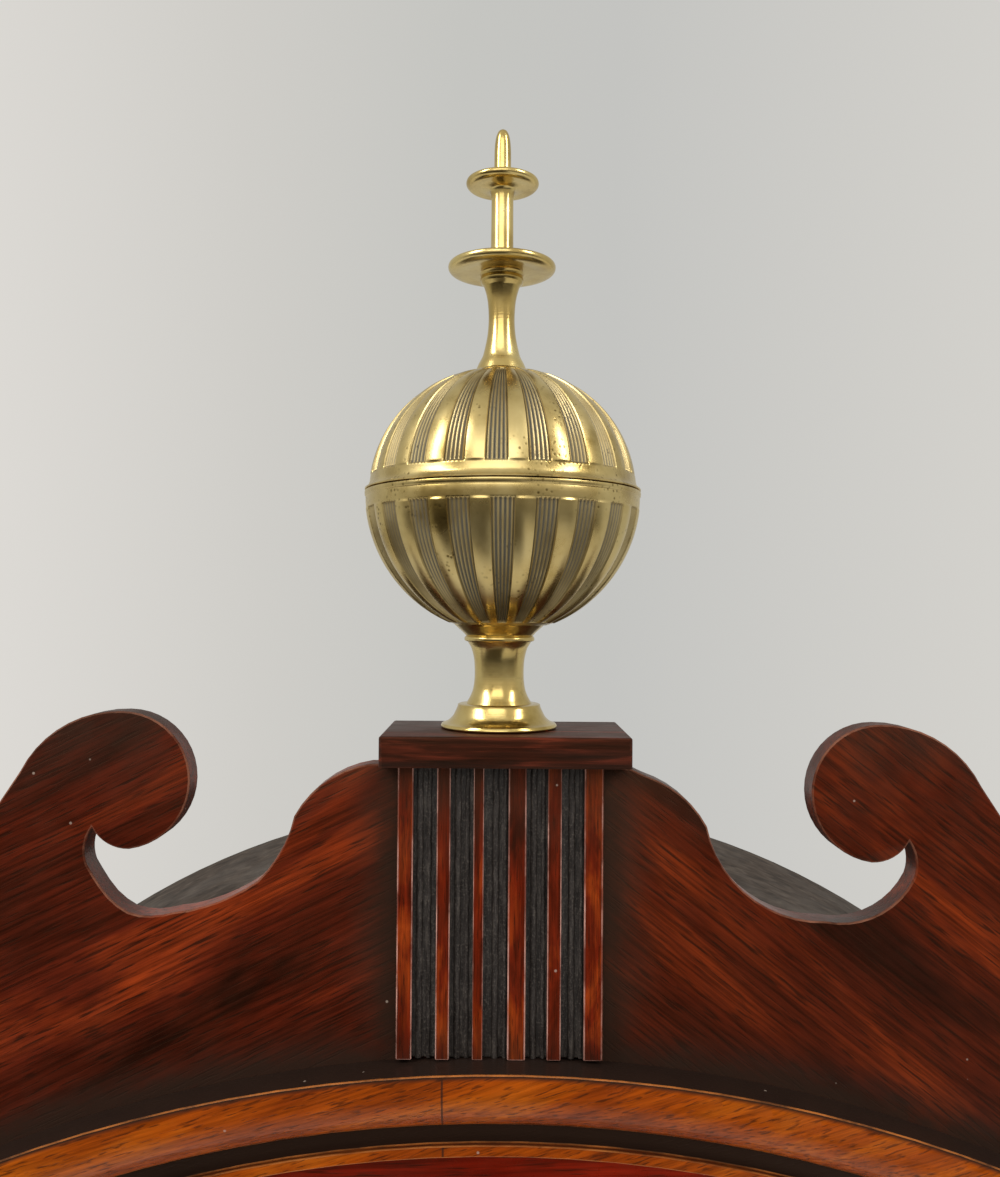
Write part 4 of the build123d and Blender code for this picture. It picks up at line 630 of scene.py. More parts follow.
# reeds at the bottom of the plinth's flutes
def addFluteReeds():
    # lanes: place across the flute as a share, and radius in millimetres
    reeds = {"flutes": 5, "lanes": [(0.3, 0.75), (0.72, 0.525)], "fillet": 3.1 * mm, "fluteDepth": 1.6 * mm,
             "sunk": 0.1 * mm, "wander": 0.07 * mm, "footGap": 0.8 * mm, "capGap": 0.2 * mm, "sides": 8,
             "rings": 24}
    step = (plinthBox[1].x - plinthBox[0].x - reeds["fillet"]) / reeds["flutes"]
    flute = step - reeds["fillet"]
    middleY = plinthFront + reeds["fluteDepth"] + reeds["sunk"]
    low = sqrt(archRadius ** 2 - plinthBox[1].x ** 2) + archZ + reeds["footGap"]
    high = plinthBox[1].z - reeds["capGap"]
    points = []
    faces = []
    for lane, (share, radius) in enumerate(reeds["lanes"]):
        base = len(points)
        for ring in range(reeds["rings"] + 1):
            wander = reeds["wander"] * sin(ring * 1.9 + lane * 2.0)
            x = plinthBox[0].x + reeds["fillet"] + flute * share + wander
            z = low + (high - low) * ring / reeds["rings"]
            for side in range(reeds["sides"]):
                angle = tau * side / reeds["sides"]
                points.append((x + radius * mm * cos(angle), middleY + radius * mm * sin(angle), z))
        faces += tubeFaces(base, reeds["rings"] + 1, reeds["sides"])
    mesh = throughTree("fluteReeds", makeMesh("fluteReed", points, faces), repeatLine, {
        "Count": reeds["flutes"], "Step": (step, 0, 0), "Finish": fluteFinish})
    smoothBelow(mesh, 60)
    addPiece("fluteReeds", mesh, "hood", [fluteFinish])


addFluteReeds()


# finial
def smoothRun(knots, steps):
    # a smooth curve through given points, ends included
    curve = []
    for place in range(len(knots) - 1):
        before = knots[max(place - 1, 0)]
        start, end = knots[place], knots[place + 1]
        after = knots[min(place + 2, len(knots) - 1)]
        for step in range(steps):
            t = step / steps
            curve.append(tuple(
                0.5 * (2 * b + (c - a) * t + (2 * a - 5 * b + 4 * c - d) * t ** 2
                       + (3 * b - a - 3 * c + d) * t ** 3)
                for a, b, c, d in zip(before, start, end, after)))
    curve.append(knots[-1])
    return curve


def turnedMesh(name, profile, centre, sides=96):
    # profile in millimetres, radius and height, from axis to axis
    x, y, z = centre
    points = []
    rows = []
    for radius, height in profile:
        if radius < 1e-6:
            rows.append([len(points)])
            points.append((x, y, z + height * mm))
            continue
        rows.append(range(len(points), len(points) + sides))
        for side in range(sides):
            angle = tau * side / sides
            points.append((x + radius * mm * cos(angle), y + radius * mm * sin(angle), z + height * mm))
    faces = []
    for low, high in zip(rows, rows[1:]):
        for side in range(sides):
            after = (side + 1) % sides
            if len(low) == 1 and len(high) > 1:
                faces.append((low[0], high[after], high[side]))
            elif len(high) == 1 and len(low) > 1:
                faces.append((low[side], low[after], high[0]))
            elif len(low) > 1:
                faces.append((low[side], low[after], high[after], high[side]))
    return makeMesh(name, points, faces)


finial = {
    "ballHeight": 50.5, "bowlRadius": 29.8, "domeRadius": 27.3, "domeOffset": 1.73,
    "seamHalf": 0.65, "neckRadius": 5.7, "panels": 21, "panelShare": 0.53, "panelDepth": 0.75,
    "ribs": 5, "ribHeight": 0.5, "landSwell": 0.22, "domeTurn": -2.6, "bowlTurn": 0.0,
    "spindleShift": 0.5 * mm, "edgeShare": 0.02, "endFade": 0.35, "flangeRise": 2.2, "flangeReach": 0.95,
}
finialSpot = (-finial["spindleShift"], finialY, finialZ)  # foot and spire stand a hair left of the ball


def addFinialFoot():
    profile = [(0, 0), (12.1, 0)]
    profile += smoothRun([(12.1, 0), (12.55, 0.25), (12.6, 0.6), (12.35, 1.05)], 4)[1:]
    profile += smoothRun([(12.35, 1.05), (11.2, 1.5), (10.1, 2.5), (9.45, 3.7), (9.0, 4.75)], 5)[1:]
    profile += [(8.95, 5.15), (8.6, 5.3), (7.15, 5.35)]
    profile += smoothRun([(7.15, 5.35), (6.3, 6.8), (5.72, 8.3), (5.42, 10.2), (5.35, 12.0), (5.45, 14.4),
                          (5.75, 16.1), (6.2, 17.5), (6.95, 18.75)], 4)[1:]
    profile += smoothRun([(6.95, 18.75), (7.5, 18.9), (7.66, 19.35), (7.5, 19.8), (7.25, 19.95)], 3)[1:]
    profile += smoothRun([(7.25, 19.95), (7.9, 20.7), (8.9, 21.6), (9.85, 22.5), (10.25, 23.3)], 4)[1:]
    profile += [(10.3, 23.6), (9.6, 23.9), (0, 23.2)]
    mesh = turnedMesh("finialFoot", profile, finialSpot)
    smoothBelow(mesh, 35)
    addPiece("finialFoot", mesh, "hood", [turnedFinish], ["finial_foot"])


def addFinialSpire():
    top = finial["ballHeight"] + finial["domeRadius"] * sin(acos(
        (finial["neckRadius"] - finial["domeOffset"]) / finial["domeRadius"]))
    profile = [(0, top - 2), (5.5, top - 2), (5.5, top - 0.3)]
    profile += smoothRun([(6.0, top - 0.25), (6.25, top + 0.05), (6.0, top + 0.35)], 3)
    profile += smoothRun([(5.6, top + 0.5), (4.9, 79.6), (4.1, 81.2), (3.5, 83.6), (3.05, 86.2), (2.86, 89.2),
                          (3.0, 92.4), (3.35, 94.6), (3.95, 96.6)], 4)
    profile += smoothRun([(4.5, 97.1), (4.75, 97.9), (4.6, 98.7), (4.9, 99.3)], 3)
    profile += smoothRun([(7.5, 99.45), (9.7, 99.35), (11.0, 99.6), (11.65, 100.1), (11.8, 100.8),
                          (11.5, 101.4), (10.8, 101.6)], 4)
    profile += smoothRun([(8.0, 101.1), (4.5, 100.9), (2.9, 101.3), (2.5, 102.2)], 4)
    profile += smoothRun([(2.46, 108), (2.42, 114), (2.5, 117.3), (3.0, 118.1)], 3)
    profile += smoothRun([(5.4, 118.2), (7.0, 118.25), (7.75, 118.7), (8.0, 119.3), (7.8, 119.9),
                          (7.2, 120.15)], 4)
    profile += smoothRun([(4.2, 119.7), (2.3, 119.9), (1.9, 120.9)], 4)
    profile += smoothRun([(1.84, 124.0), (1.8, 127.0), (1.55, 129.4), (1.05, 130.8), (0.5, 131.3)], 4)
    profile.append((0, 131.4))
    mesh = turnedMesh("finialSpire", profile, finialSpot)
    smoothBelow(mesh, 40)
    addPiece("finialSpire", mesh, "hood", [turnedFinish], ["finial_spire"])


def panelColumns():
    # places across one sector as shares of its pitch, closer together over the ribs and edges
    half = finial["panelShare"] / 2
    ribSteps = finial["ribs"] * 6
    columns = [-0.5, -0.44, -0.38, -0.33, -0.29, -half - 0.012]
    columns += [-half + finial["panelShare"] * step / ribSteps for step in range(ribSteps + 1)]
    columns += [-place for place in reversed(columns[:6])]
    return columns


def ease(t):
    t = min(max(t, 0.0), 1.0)
    return t * t * (3 - 2 * t)


def panelledHalf(name, rows, turn, swell, hides):
    # rows: radius, height, outward radius share, outward height share, panel strength 0 to 1
    columns = panelColumns()
    pitch = tau / finial["panels"]
    half = finial["panelShare"] / 2
    points = []
    marks = []
    for radius, height, outR, outZ, strength in rows:
        for share in columns:
            inside = ease((half + 0.006 - abs(share)) / finial["edgeShare"]) * strength
            rib = 0.5 - 0.5 * cos(tau * finial["ribs"] * (share + half) / finial["panelShare"])
            depth = inside * (finial["panelDepth"] - finial["ribHeight"] * rib)
            land = cos(pi * (0.5 - abs(share)) / (1 - 2 * half)) if abs(share) > half else 0.0
            rise = swell * land * min(strength * 1.5, 1.0)
            push = rise - depth
            angle = share * pitch + radians(turn) - pi / 2
            r = (radius + push * outR) * mm
            points.append((r * cos(angle), finialY + r * sin(angle), finialZ + (height + push * outZ) * mm))
            marks.append(inside * (1.0 - 0.7 * ease((rib - 0.45) / 0.4)))
    faces = []
    wide = len(columns)
    for row in range(len(rows) - 1):
        for column in range(wide - 1):
            a = row * wide + column
            faces.append((a, a + 1, a + 1 + wide, a + wide))
    mesh = makeMesh(name, points, faces)
    mark = mesh.attributes.new("tarnish", "FLOAT", "POINT")
    mark.data.foreach_set("value", marks)
    whole = throughTree(name, mesh, repeatRound, {
        "Count": finial["panels"], "Centre": (0, finialY, 0), "Axis": (0, 0, 1), "Weld": 0.01 * mm,
        "Finish": ballFinish})
    faceOutward(whole, 0.001 * mm)
    smoothBelow(whole, 50)
    addPiece(name, whole, "hood", [ballFinish], hides)


def arcRows(radius, offset, start, end, panelStart, panelEnd, count):
    # rows along the ball's curve; extra rows at the panel's two ends
    angles = [start + (end - start) * step / count for step in range(count + 1)]
    sign = 1 if end > start else -1
    for edge in (panelStart, panelEnd):
        angles += [edge + nudge / radius for nudge in (-0.25, 0.0, 0.25, 0.5, -0.5)]
    low, high = min(start, end), max(start, end)
    angles = sorted({round(angle, 5) for angle in angles if low <= angle <= high}, reverse=sign < 0)
    rows = []
    for angle in angles:
        fromStart = (angle - panelStart) * sign * radius
        toEnd = (panelEnd - angle) * sign * radius
        strength = ease(fromStart / finial["endFade"] + 0.5) * ease(toEnd / finial["endFade"] + 0.5)
        rows.append([offset + radius * cos(angle), finial["ballHeight"] + radius * sin(angle),
                     cos(angle), sin(angle), strength])
    return rows


def addFinialDome():
    radius, offset = finial["domeRadius"], finial["domeOffset"]
    top = acos((finial["neckRadius"] - offset) / radius)
    rows = arcRows(radius, offset, radians(1.6), top, asin(4.2 / radius), acos((7.6 - offset) / radius), 44)
    seamTop = finial["ballHeight"] + finial["seamHalf"]
    for row in rows:
        # the dome flares into a thin flange at the seam
        lift = row[1] - seamTop
        if lift < finial["flangeRise"]:
            row[0] += finial["flangeReach"] * (1 - lift / finial["flangeRise"]) ** 2
    first = [[0, seamTop + 0.1, 0, 0, 0], [29.7, seamTop + 0.1, 0, 0, 0], [29.97, seamTop + 0.22, 0, 0, 0],
             [29.97, seamTop + 0.5, 0, 0, 0]]
    rows = first + [row for row in rows if row[1] > seamTop + 0.55]
    rows.append([0, rows[-1][1], 0, 0, 0])
    panelledHalf("finialDome", rows, finial["domeTurn"], finial["landSwell"] * 0.6, ["finial_dome"])


def addFinialBowl():
    radius = finial["bowlRadius"]
    seamLow = finial["ballHeight"] - finial["seamHalf"]
    seamTop = finial["ballHeight"] + finial["seamHalf"]
    rows = arcRows(radius, 0, -asin(1.0 / radius), -acos(9.8 / radius), -asin(3.3 / radius),
                   -acos(11.4 / radius), 44)
    ring = [[0, seamTop, 0, 0, 0], [29.6, seamTop, 0, 0, 0], [29.95, seamTop - 0.12, 0, 0, 0],
            [30.0, seamTop - 0.35, 0, 0, 0], [29.95, seamLow + 0.3, 0, 0, 0], [29.72, seamLow + 0.1, 0, 0, 0]]
    rows = ring + [row for row in rows if row[1] < seamLow - 0.1]
    rows.append([0, rows[-1][1] + 1.5, 0, 0, 0])
    panelledHalf("finialBowl", rows, finial["bowlTurn"], finial["landSwell"], ["finial_bowl"])


addFinialFoot()
addFinialBowl()
addFinialDome()
addFinialSpire()
print("finial turned")


# every other CAD node as a welded, rubbed piece
def steelNearAxis(node, reach):
    # arbors and pinions are steel, their wheels brass
    axis = Vector(joints[node + "_turn"]["pos_m"])
    return lambda centre, normal: 1 if hypot(centre.x - axis.x, centre.z - axis.z) < reach * mm else 0


for nodeName, pieceName, rounding, finish in [
    ("skirting", "skirtingBoards", 0.8, crossFinish),
    ("base_front_panel", "baseFrontPanel", 0.8, flameFinish),
    ("base_sides", "baseSideBoards", 0.8, uprightFinish),
    ("base_moulding", "baseMoulding", 0.4, crossFinish),
    ("trunk_sides", "trunkSideBoards", 0.8, uprightFinish),
    ("trunk_front_frame", "trunkFrontFrame", 0.5, uprightFinish),
    ("throat_moulding", "throatMoulding", 0.4, crossFinish),
    ("trunk_door_panel", "trunkDoor", 0.9, flameFinish),
    ("hood_base_frame", "hoodBottomFrame", 0.6, crossFinish),
    ("hood_mask_frame", "dialMask", 0.4, uprightFinish),
    ("hood_sides", "hoodSideBoards", 0.6, uprightFinish),
    ("hood_columns", "hoodColumns", 0, uprightFinish),
    ("hood_door_frame", "hoodDoorFrame", 0.6, uprightFinish),
    ("base_floor", "baseFloor", 0.5, pineFinish),
    ("backboard", "backboard", 0.5, pineFinish),
    ("seatboard", "seatboard", 0.5, pineFinish),
    ("trunk_hinge_leaves", "hingeLeaves", 0.15, movementFinish),
    ("trunk_door_hinges", "doorHinges", 0.15, movementFinish),
    ("trunk_door_key_plate", "keyPlate", 0.25, movementFinish),
    ("column_brasses", "columnBrasses", 0, turnedFinish),
    ("hood_door_pivots", "hoodDoorPivots", 0.2, movementFinish),
    ("hood_door_knob", "hoodDoorKnob", 0, turnedFinish),
    ("movement_frame", "movementPlates", 0.2, movementFinish),
    ("back_cock", "backCock", 0.2, movementFinish),
    ("pendulum_bob", "pendulumBob", 0, turnedFinish),
    ("going_pulley", "goingPulley", 0, turnedFinish),
    ("strike_pulley", "strikePulley", 0, turnedFinish),
    ("bell_and_stand", "bellAndStand", 0, bellFinish),
    ("anchor_and_crutch", "anchorAndCrutch", 0.12, steelFinish),
    ("hammer", "bellHammer", 0.15, steelFinish),
    ("pendulum_rod", "pendulumRod", 0.1, steelFinish),
    ("minute_hand", "minuteHand", 0.12, bluedFinish),
    ("hour_hand", "hourHand", 0.12, bluedFinish),
    ("seconds_hand", "secondsHand", 0.08, bluedFinish),
    ("going_weight", "goingWeight", 0.5, ironFinish),
    ("strike_weight", "strikeWeight", 0.5, ironFinish),
    ("hood_side_glass", "hoodSideGlass", 0.15, glassFinish),
    ("hood_door_glass", "hoodDoorGlass", 0.15, glassFinish),
    ("dial_plate", "dialPlate", 0.2, dialFinish),
]:
    dressNode(nodeName, pieceName, rounding * mm, [finish])  # rounding in millimetres
for nodeName, pieceName, steelReach in [
    ("going_great_wheel", "goingGreatWheel", 0),
    ("strike_great_wheel", "strikeGreatWheel", 0),
    ("going_barrel", "goingBarrel", 5.0),
    ("strike_barrel", "strikeBarrel", 5.0),
    ("centre_wheel", "centreWheel", 4.6),
    ("third_wheel", "thirdWheel", 3.6),
    ("escape_wheel", "escapeWheel", 3.0),
    ("motion_wheel", "motionWheel", 0),
]:
    dressNode(nodeName, pieceName, 0.08 * mm, [movementFinish, steelFinish],
              steelNearAxis(nodeName, steelReach))
print("case, hood and movement dressed")


# flat work laid on a front face: ink, gilding and inlay, all closed and a hair proud
def prismMesh(name, outlines, faceY, thickness):
    # outlines are x, z pairs in millimetres, anticlockwise as seen from the front
    points = []
    faces = []
    for index, outline in enumerate(outlines):
        base = len(points)
        count = len(outline)
        lift = thickness * (1 + 0.05 * (index % 3))
        points += [(x * mm, faceY - lift, z * mm) for x, z in outline]
        points += [(x * mm, faceY + thickness * 0.5, z * mm) for x, z in outline]
        faces.append(tuple(range(base, base + count)))
        faces.append(tuple(reversed(range(base + count, base + 2 * count))))
        for place in range(count):
            after = (place + 1) % count
            faces.append((base + place, base + count + place, base + count + after, base + after))
    return makeMesh(name, points, faces)


def stripMesh(name, strips, faceY, thickness):
    # strips are closed paths of x, z pairs going anticlockwise, each with its width
    points = []
    faces = []
    for path, width in strips:
        count = len(path)
        base = len(points)
        for place in range(count):
            before, here = Vector(path[place - 1]), Vector(path[place])
            after = Vector(path[(place + 1) % count])
            inward = (here - before).normalized()
            onward = (after - here).normalized()
            side = Vector((inward.y + onward.y, -inward.x - onward.x)).normalized()
            reach = width / 2 / max(side.dot(Vector((onward.y, -onward.x))), 0.4)
            for sign, y in ((1, faceY - thickness), (-1, faceY - thickness), (1, faceY + thickness * 0.5),
                            (-1, faceY + thickness * 0.5)):
                spot = here + side * reach * sign
                points.append((spot.x * mm, y, spot.y * mm))
        for place in range(count):
            a = base + 4 * place
            b = base + 4 * ((place + 1) % count)
            faces += [(a, b, b + 1, a + 1), (a + 3, b + 3, b + 2, a + 2),
                      (a, a + 2, b + 2, b), (b + 1, b + 3, a + 3, a + 1)]
    return makeMesh(name, points, faces)


def circlePath(x, z, radiusX, radiusZ, count=120):
    angles = [tau * step / count for step in range(count)]
    return [(x + radiusX * cos(angle), z + radiusZ * sin(angle)) for angle in angles]


def strokeOutline(start, end, width):
    along = (Vector(end) - Vector(start)).normalized()
    across = Vector((-along.y, along.x)) * (width / 2)
    corners = [Vector(start) - across, Vector(end) - across, Vector(end) + across, Vector(start) + across]
    return [tuple(corner) for corner in corners]


dialWork = {
    "centre": dialZ / mm, "numeralFoot": 88.0, "numeralHeight": 22.5, "trackInner": 113.6,
    "trackOuter": 119.6, "thick": 3.9, "thin": 0.9, "serif": 0.75, "inkThickness": 0.02 * mm,
    "secondsCentre": secondsZ / mm, "secondsInner": 22.6, "secondsOuter": 25.6, "smallDot": 0.95,
    "bigDot": 1.9, "trackWidth": 0.45, "secondsWidth": 0.3, "tickWidth": 0.35,
}


def layOnDial(name, mesh, finish):
    addPiece(name, mesh, "case", [finish])


def numeralOutlines(letters):
    high = dialWork["numeralHeight"]
    thick, thin, serif = dialWork["thick"], dialWork["thin"], dialWork["serif"]
    widths = {"I": 6.6, "V": 13.6, "X": 13.6}
    strokes = []
    cursor = -sum(widths[letter] for letter in letters) / 2
    for letter in letters:
        middle = cursor + widths[letter] / 2
        if letter == "I":
            strokes.append(((middle, 0), (middle, high), thick))
            ends = [(middle, 0, 2.9), (middle, high, 2.9)]
        elif letter == "V":
            strokes.append(((middle - 4.4, high), (middle + 0.3, 0), thick))
            strokes.append(((middle + 4.6, high), (middle + 0.9, 0.3), thin))
            ends = [(middle - 4.4, high, 2.9), (middle + 4.6, high, 2.0)]
        else:
            strokes.append(((middle - 4.4, high), (middle + 4.4, 0), thick))
            strokes.append(((middle + 4.6, high), (middle - 4.6, 0), thin))
            ends = [(middle - 4.4, high, 2.9), (middle + 4.6, high, 2.0), (middle + 4.4, 0, 2.9),
                    (middle - 4.6, 0, 2.0)]
        for x, z, half in ends:
            strokes.append(((x - half, z), (x + half, z), serif))
        cursor += widths[letter]
    return [strokeOutline(*stroke) for stroke in strokes]


def addDialWork():
    outlines = []
    for hour, letters in enumerate("XII I II III IIII V VI VII VIII IX X XI".split()):
        angle = tau * hour / 12
        for outline in numeralOutlines(letters):
            placed = []
            for across, up in outline:
                radius = dialWork["numeralFoot"] + up
                placed.append((radius * sin(angle) + across * cos(angle),
                               dialWork["centre"] + radius * cos(angle) - across * sin(angle)))
            outlines.append(placed)
    ink = dialWork["inkThickness"]
    layOnDial("dialNumerals", prismMesh("dialNumerals", outlines, dialFace, ink), dialInk)
    centre, inner, outer = dialWork["centre"], dialWork["trackInner"], dialWork["trackOuter"]
    smallCentre, smallInner, smallOuter = [dialWork["seconds" + end] for end in ("Centre", "Inner", "Outer")]
    rings = [(circlePath(0, centre, radius, radius, 180), dialWork["trackWidth"]) for radius in (inner, outer)]
    rings += [(circlePath(0, smallCentre, radius, radius, 96), dialWork["secondsWidth"])
              for radius in (smallInner, smallOuter)]
    layOnDial("dialRings", stripMesh("dialRings", rings, dialFace, ink), dialInk)
    track = centre + (inner + outer) / 2
    small, big = dialWork["smallDot"], dialWork["bigDot"]
    tick = strokeOutline((0, smallCentre + smallInner), (0, smallCentre + smallOuter), dialWork["tickWidth"])
    for name, count, height, outline in [
        ("minuteDots", 60, dialZ, circlePath(0, track, small, small, 16)),
        ("fiveMinuteDots", 12, dialZ, circlePath(0, track, big, big, 24)),
        ("secondTicks", 60, secondsZ, tick),
    ]:
        one = prismMesh(name + "One", [outline], dialFace, ink * 0.9)
        layOnDial(name, throughTree(name, one, repeatRound, {
            "Count": count, "Centre": (0, 0, height), "Axis": (0, 1, 0), "Weld": 0.001 * mm,
            "Finish": dialInk}), dialInk)


def petalOutline(x, z, angle, near, far, half):
    # a pointed leaf from near to far along the angle, anticlockwise
    outline = []
    steps = 9
    for side in (-1, 1):
        for step in range(steps):
            t = step / steps if side < 0 else 1 - step / steps
            along = near + (far - near) * t
            across = side * half * sin(pi * min(t * 0.92 + 0.04, 1)) ** 0.8 * (0.55 + 0.6 * t)
            outline.append((x + along * cos(angle) - across * sin(angle),
                            z + along * sin(angle) + across * cos(angle)))
    return outline


def addGilding():
    gilding = {"cornerPlace": 139.0, "fanReach": 41.0, "fanLeaves": 7, "fanStep": 13, "archCentre": 1761.0,
               "ovalRise": 50.0, "flowerLeaves": 16, "eye": 4.2, "sprayPlace": 83, "sprayLeaves": 5,
               "sprayStep": 12, "thickness": 0.03 * mm}
    outlines = []
    middle = gilding["fanLeaves"] // 2
    for signX, signZ in ((-1, -1), (-1, 1), (1, -1), (1, 1)):
        heading = atan2(-signZ, -signX)
        x = signX * gilding["cornerPlace"]
        z = dialWork["centre"] + signZ * gilding["cornerPlace"]
        for leaf in range(gilding["fanLeaves"]):
            angle = heading + radians(gilding["fanStep"] * (leaf - middle))
            reach = gilding["fanReach"] - 3 * abs(leaf - middle) % 4
            outlines.append(petalOutline(x, z, angle, 9, reach, 3.2))
        outlines.append(circlePath(x - signX * 3.2, z - signZ * 3.2, gilding["eye"], gilding["eye"], 24))
    ovalZ = gilding["archCentre"] + gilding["ovalRise"]
    for leaf in range(gilding["flowerLeaves"]):
        outlines.append(petalOutline(0, ovalZ, tau * leaf / gilding["flowerLeaves"], 5.5, 20, 2.6))
    outlines.append(circlePath(0, ovalZ, gilding["eye"], gilding["eye"], 32))
    for sign in (-1, 1):
        for leaf in range(gilding["sprayLeaves"]):
            angle = pi / 2 + sign * radians(gilding["sprayStep"] * leaf - 10)
            x = sign * gilding["sprayPlace"]
            outlines.append(petalOutline(x, gilding["archCentre"] + 13, angle, 6, 33, 3))
    gild = gilding["thickness"]
    layOnDial("dialGilding", prismMesh("dialGilding", outlines, dialFace, gild), giltFinish)
    rings = [(circlePath(0, dialWork["centre"], 126.5, 126.5, 180), 0.8),
             (circlePath(0, ovalZ, 41, 28, 120), 1.3), (circlePath(0, ovalZ, 37.8, 24.8, 120), 0.4)]
    layOnDial("dialGiltRings", stripMesh("dialGiltRings", rings, dialFace, gild), giltFinish)


addDialWork()
addGilding()


# pale wood lines let into the trunk door and the base panel
def addStringing():
    inlay = {"width": 1.5, "proud": 0.05 * mm, "doorInset": 17.0, "doorArch": 90.0, "archCentre": 1200.0,
             "doorShoulder": 1208.0, "panelInset": 46.0, "cornerRadius": 20.0}
    doorLow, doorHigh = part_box("trunk_door_panel")
    half = doorHigh.x / mm - inlay["doorInset"]
    low = doorLow.z / mm + inlay["doorInset"]
    shoulder = inlay["doorShoulder"] - inlay["doorInset"]
    arch = inlay["doorArch"] - inlay["doorInset"]
    spring = asin((shoulder - inlay["archCentre"]) / arch)
    path = [(-half, low), (half, low), (half, shoulder)]
    for step in range(33):
        angle = spring + (pi - 2 * spring) * step / 32
        path.append((arch * cos(angle), inlay["archCentre"] + arch * sin(angle)))
    path.append((-half, shoulder))
    mesh = stripMesh("doorStringing", [(path, inlay["width"])], doorLow.y, inlay["proud"])
    addPiece("doorStringing", mesh, "trunk_door", [boxwoodFinish])
    panelLow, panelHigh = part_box("base_front_panel")
    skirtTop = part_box("skirting")[1].z / mm
    left = panelLow.x / mm + inlay["panelInset"]
    bottom, top = skirtTop + inlay["panelInset"], panelHigh.z / mm - inlay["panelInset"]
    path = []
    for x, z, turnStart in ((left, bottom, 90), (-left, bottom, 180), (-left, top, 270), (left, top, 0)):
        for step in range(9):
            angle = radians(turnStart - 90 * step / 8)
            path.append((x + inlay["cornerRadius"] * cos(angle), z + inlay["cornerRadius"] * sin(angle)))
    mesh = stripMesh("panelStringing", [(path, inlay["width"])], panelLow.y, inlay["proud"])
    addPiece("panelStringing", mesh, "case", [boxwoodFinish])


addStringing()


def addKeyPlatePins():
    pins = {"inset": 4 * mm, "radius": 1.5 * mm, "height": 0.8 * mm, "seed": 4}
    plateLow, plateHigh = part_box("trunk_door_key_plate")
    middle = (plateLow.x + plateHigh.x) / 2
    spots = [(middle, plateLow.y, z)
             for z in (plateHigh.z - pins["inset"], plateLow.z + pins["inset"])]
    mesh = throughTree("keyPlatePins", makeMesh("platePins", spots, []), slottedScrews, {
        "Head radius": pins["radius"], "Head height": pins["height"], "Seed": pins["seed"],
        "Finish": movementFinish})
    addPiece("keyPlatePins", mesh, "trunk_door", [movementFinish])


addKeyPlatePins()
print("dial, inlay and pins laid")


# gut lines: each fall hangs from the case, and the loop goes up with the weight
def tubeMesh(name, path, radius, sides=12):
    points = []
    count = len(path)
    for place in range(count):
        before, after = Vector(path[max(place - 1, 0)]), Vector(path[min(place + 1, count - 1)])
        along = (after - before).normalized()
        across = along.cross(Vector((0, 1, 0))).normalized()
        lift = across.cross(along)
        for side in range(sides):
            angle = tau * side / sides
            outward = across * radius * cos(angle) + lift * radius * sin(angle)
            points.append(tuple(Vector(path[place]) + outward))
    mesh = makeMesh(name, points, tubeFaces(0, count, sides))
    faceOutward(mesh)
    smoothBelow(mesh, 50)
    return mesh


def addLine(side, node, weightBody, pulleyJoint):
    line = {"radius": 0.75 * mm, "path": 22.95 * mm, "knotZ": 1549.5 * mm, "lift": 1.1, "knot": 2.2}
    x, y, z = joints[pulleyJoint]["pos_m"]
    knotX, knot = x + line["path"], line["knot"]
    for name, fallX, topZ in [
        (side + "FallingLine", x - line["path"], barrelZ),
        (side + "TiedLine", knotX, line["knotZ"]),
    ]:
        path = [(fallX, y, z + (topZ - z) * step / 8) for step in range(9)]
        hidden = [node] if topZ == barrelZ else []
        fall = addPiece(name, tubeMesh(name, path, line["radius"]), "case", [gutFinish], hidden)
        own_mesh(fall)
    loop = [(x - line["path"] * cos(pi * step / 32), y, z - line["path"] * sin(pi * step / 32))
            for step in range(33)]
    name = side + "PulleyLoop"
    addPiece(name, tubeMesh(name, loop, line["radius"] * 0.98), weightBody, [gutFinish])
    profile = [(knot * cos(radians(a)), knot * sin(radians(a))) for a in range(-75, 76, 15)]
    profile = [(0, -knot), *profile, (0, knot)]
    mesh = turnedMesh(side + "LineKnot", profile, (knotX, y, line["knotZ"]), 24)
    smoothBelow(mesh, 60)
    addPiece(side + "LineKnot", mesh, "case", [gutFinish])


addLine("going", "going_line", "going_weight", "going_pulley_turn")
addLine("strike", "strike_line", "strike_weight", "strike_pulley_turn")
print("lines hung")


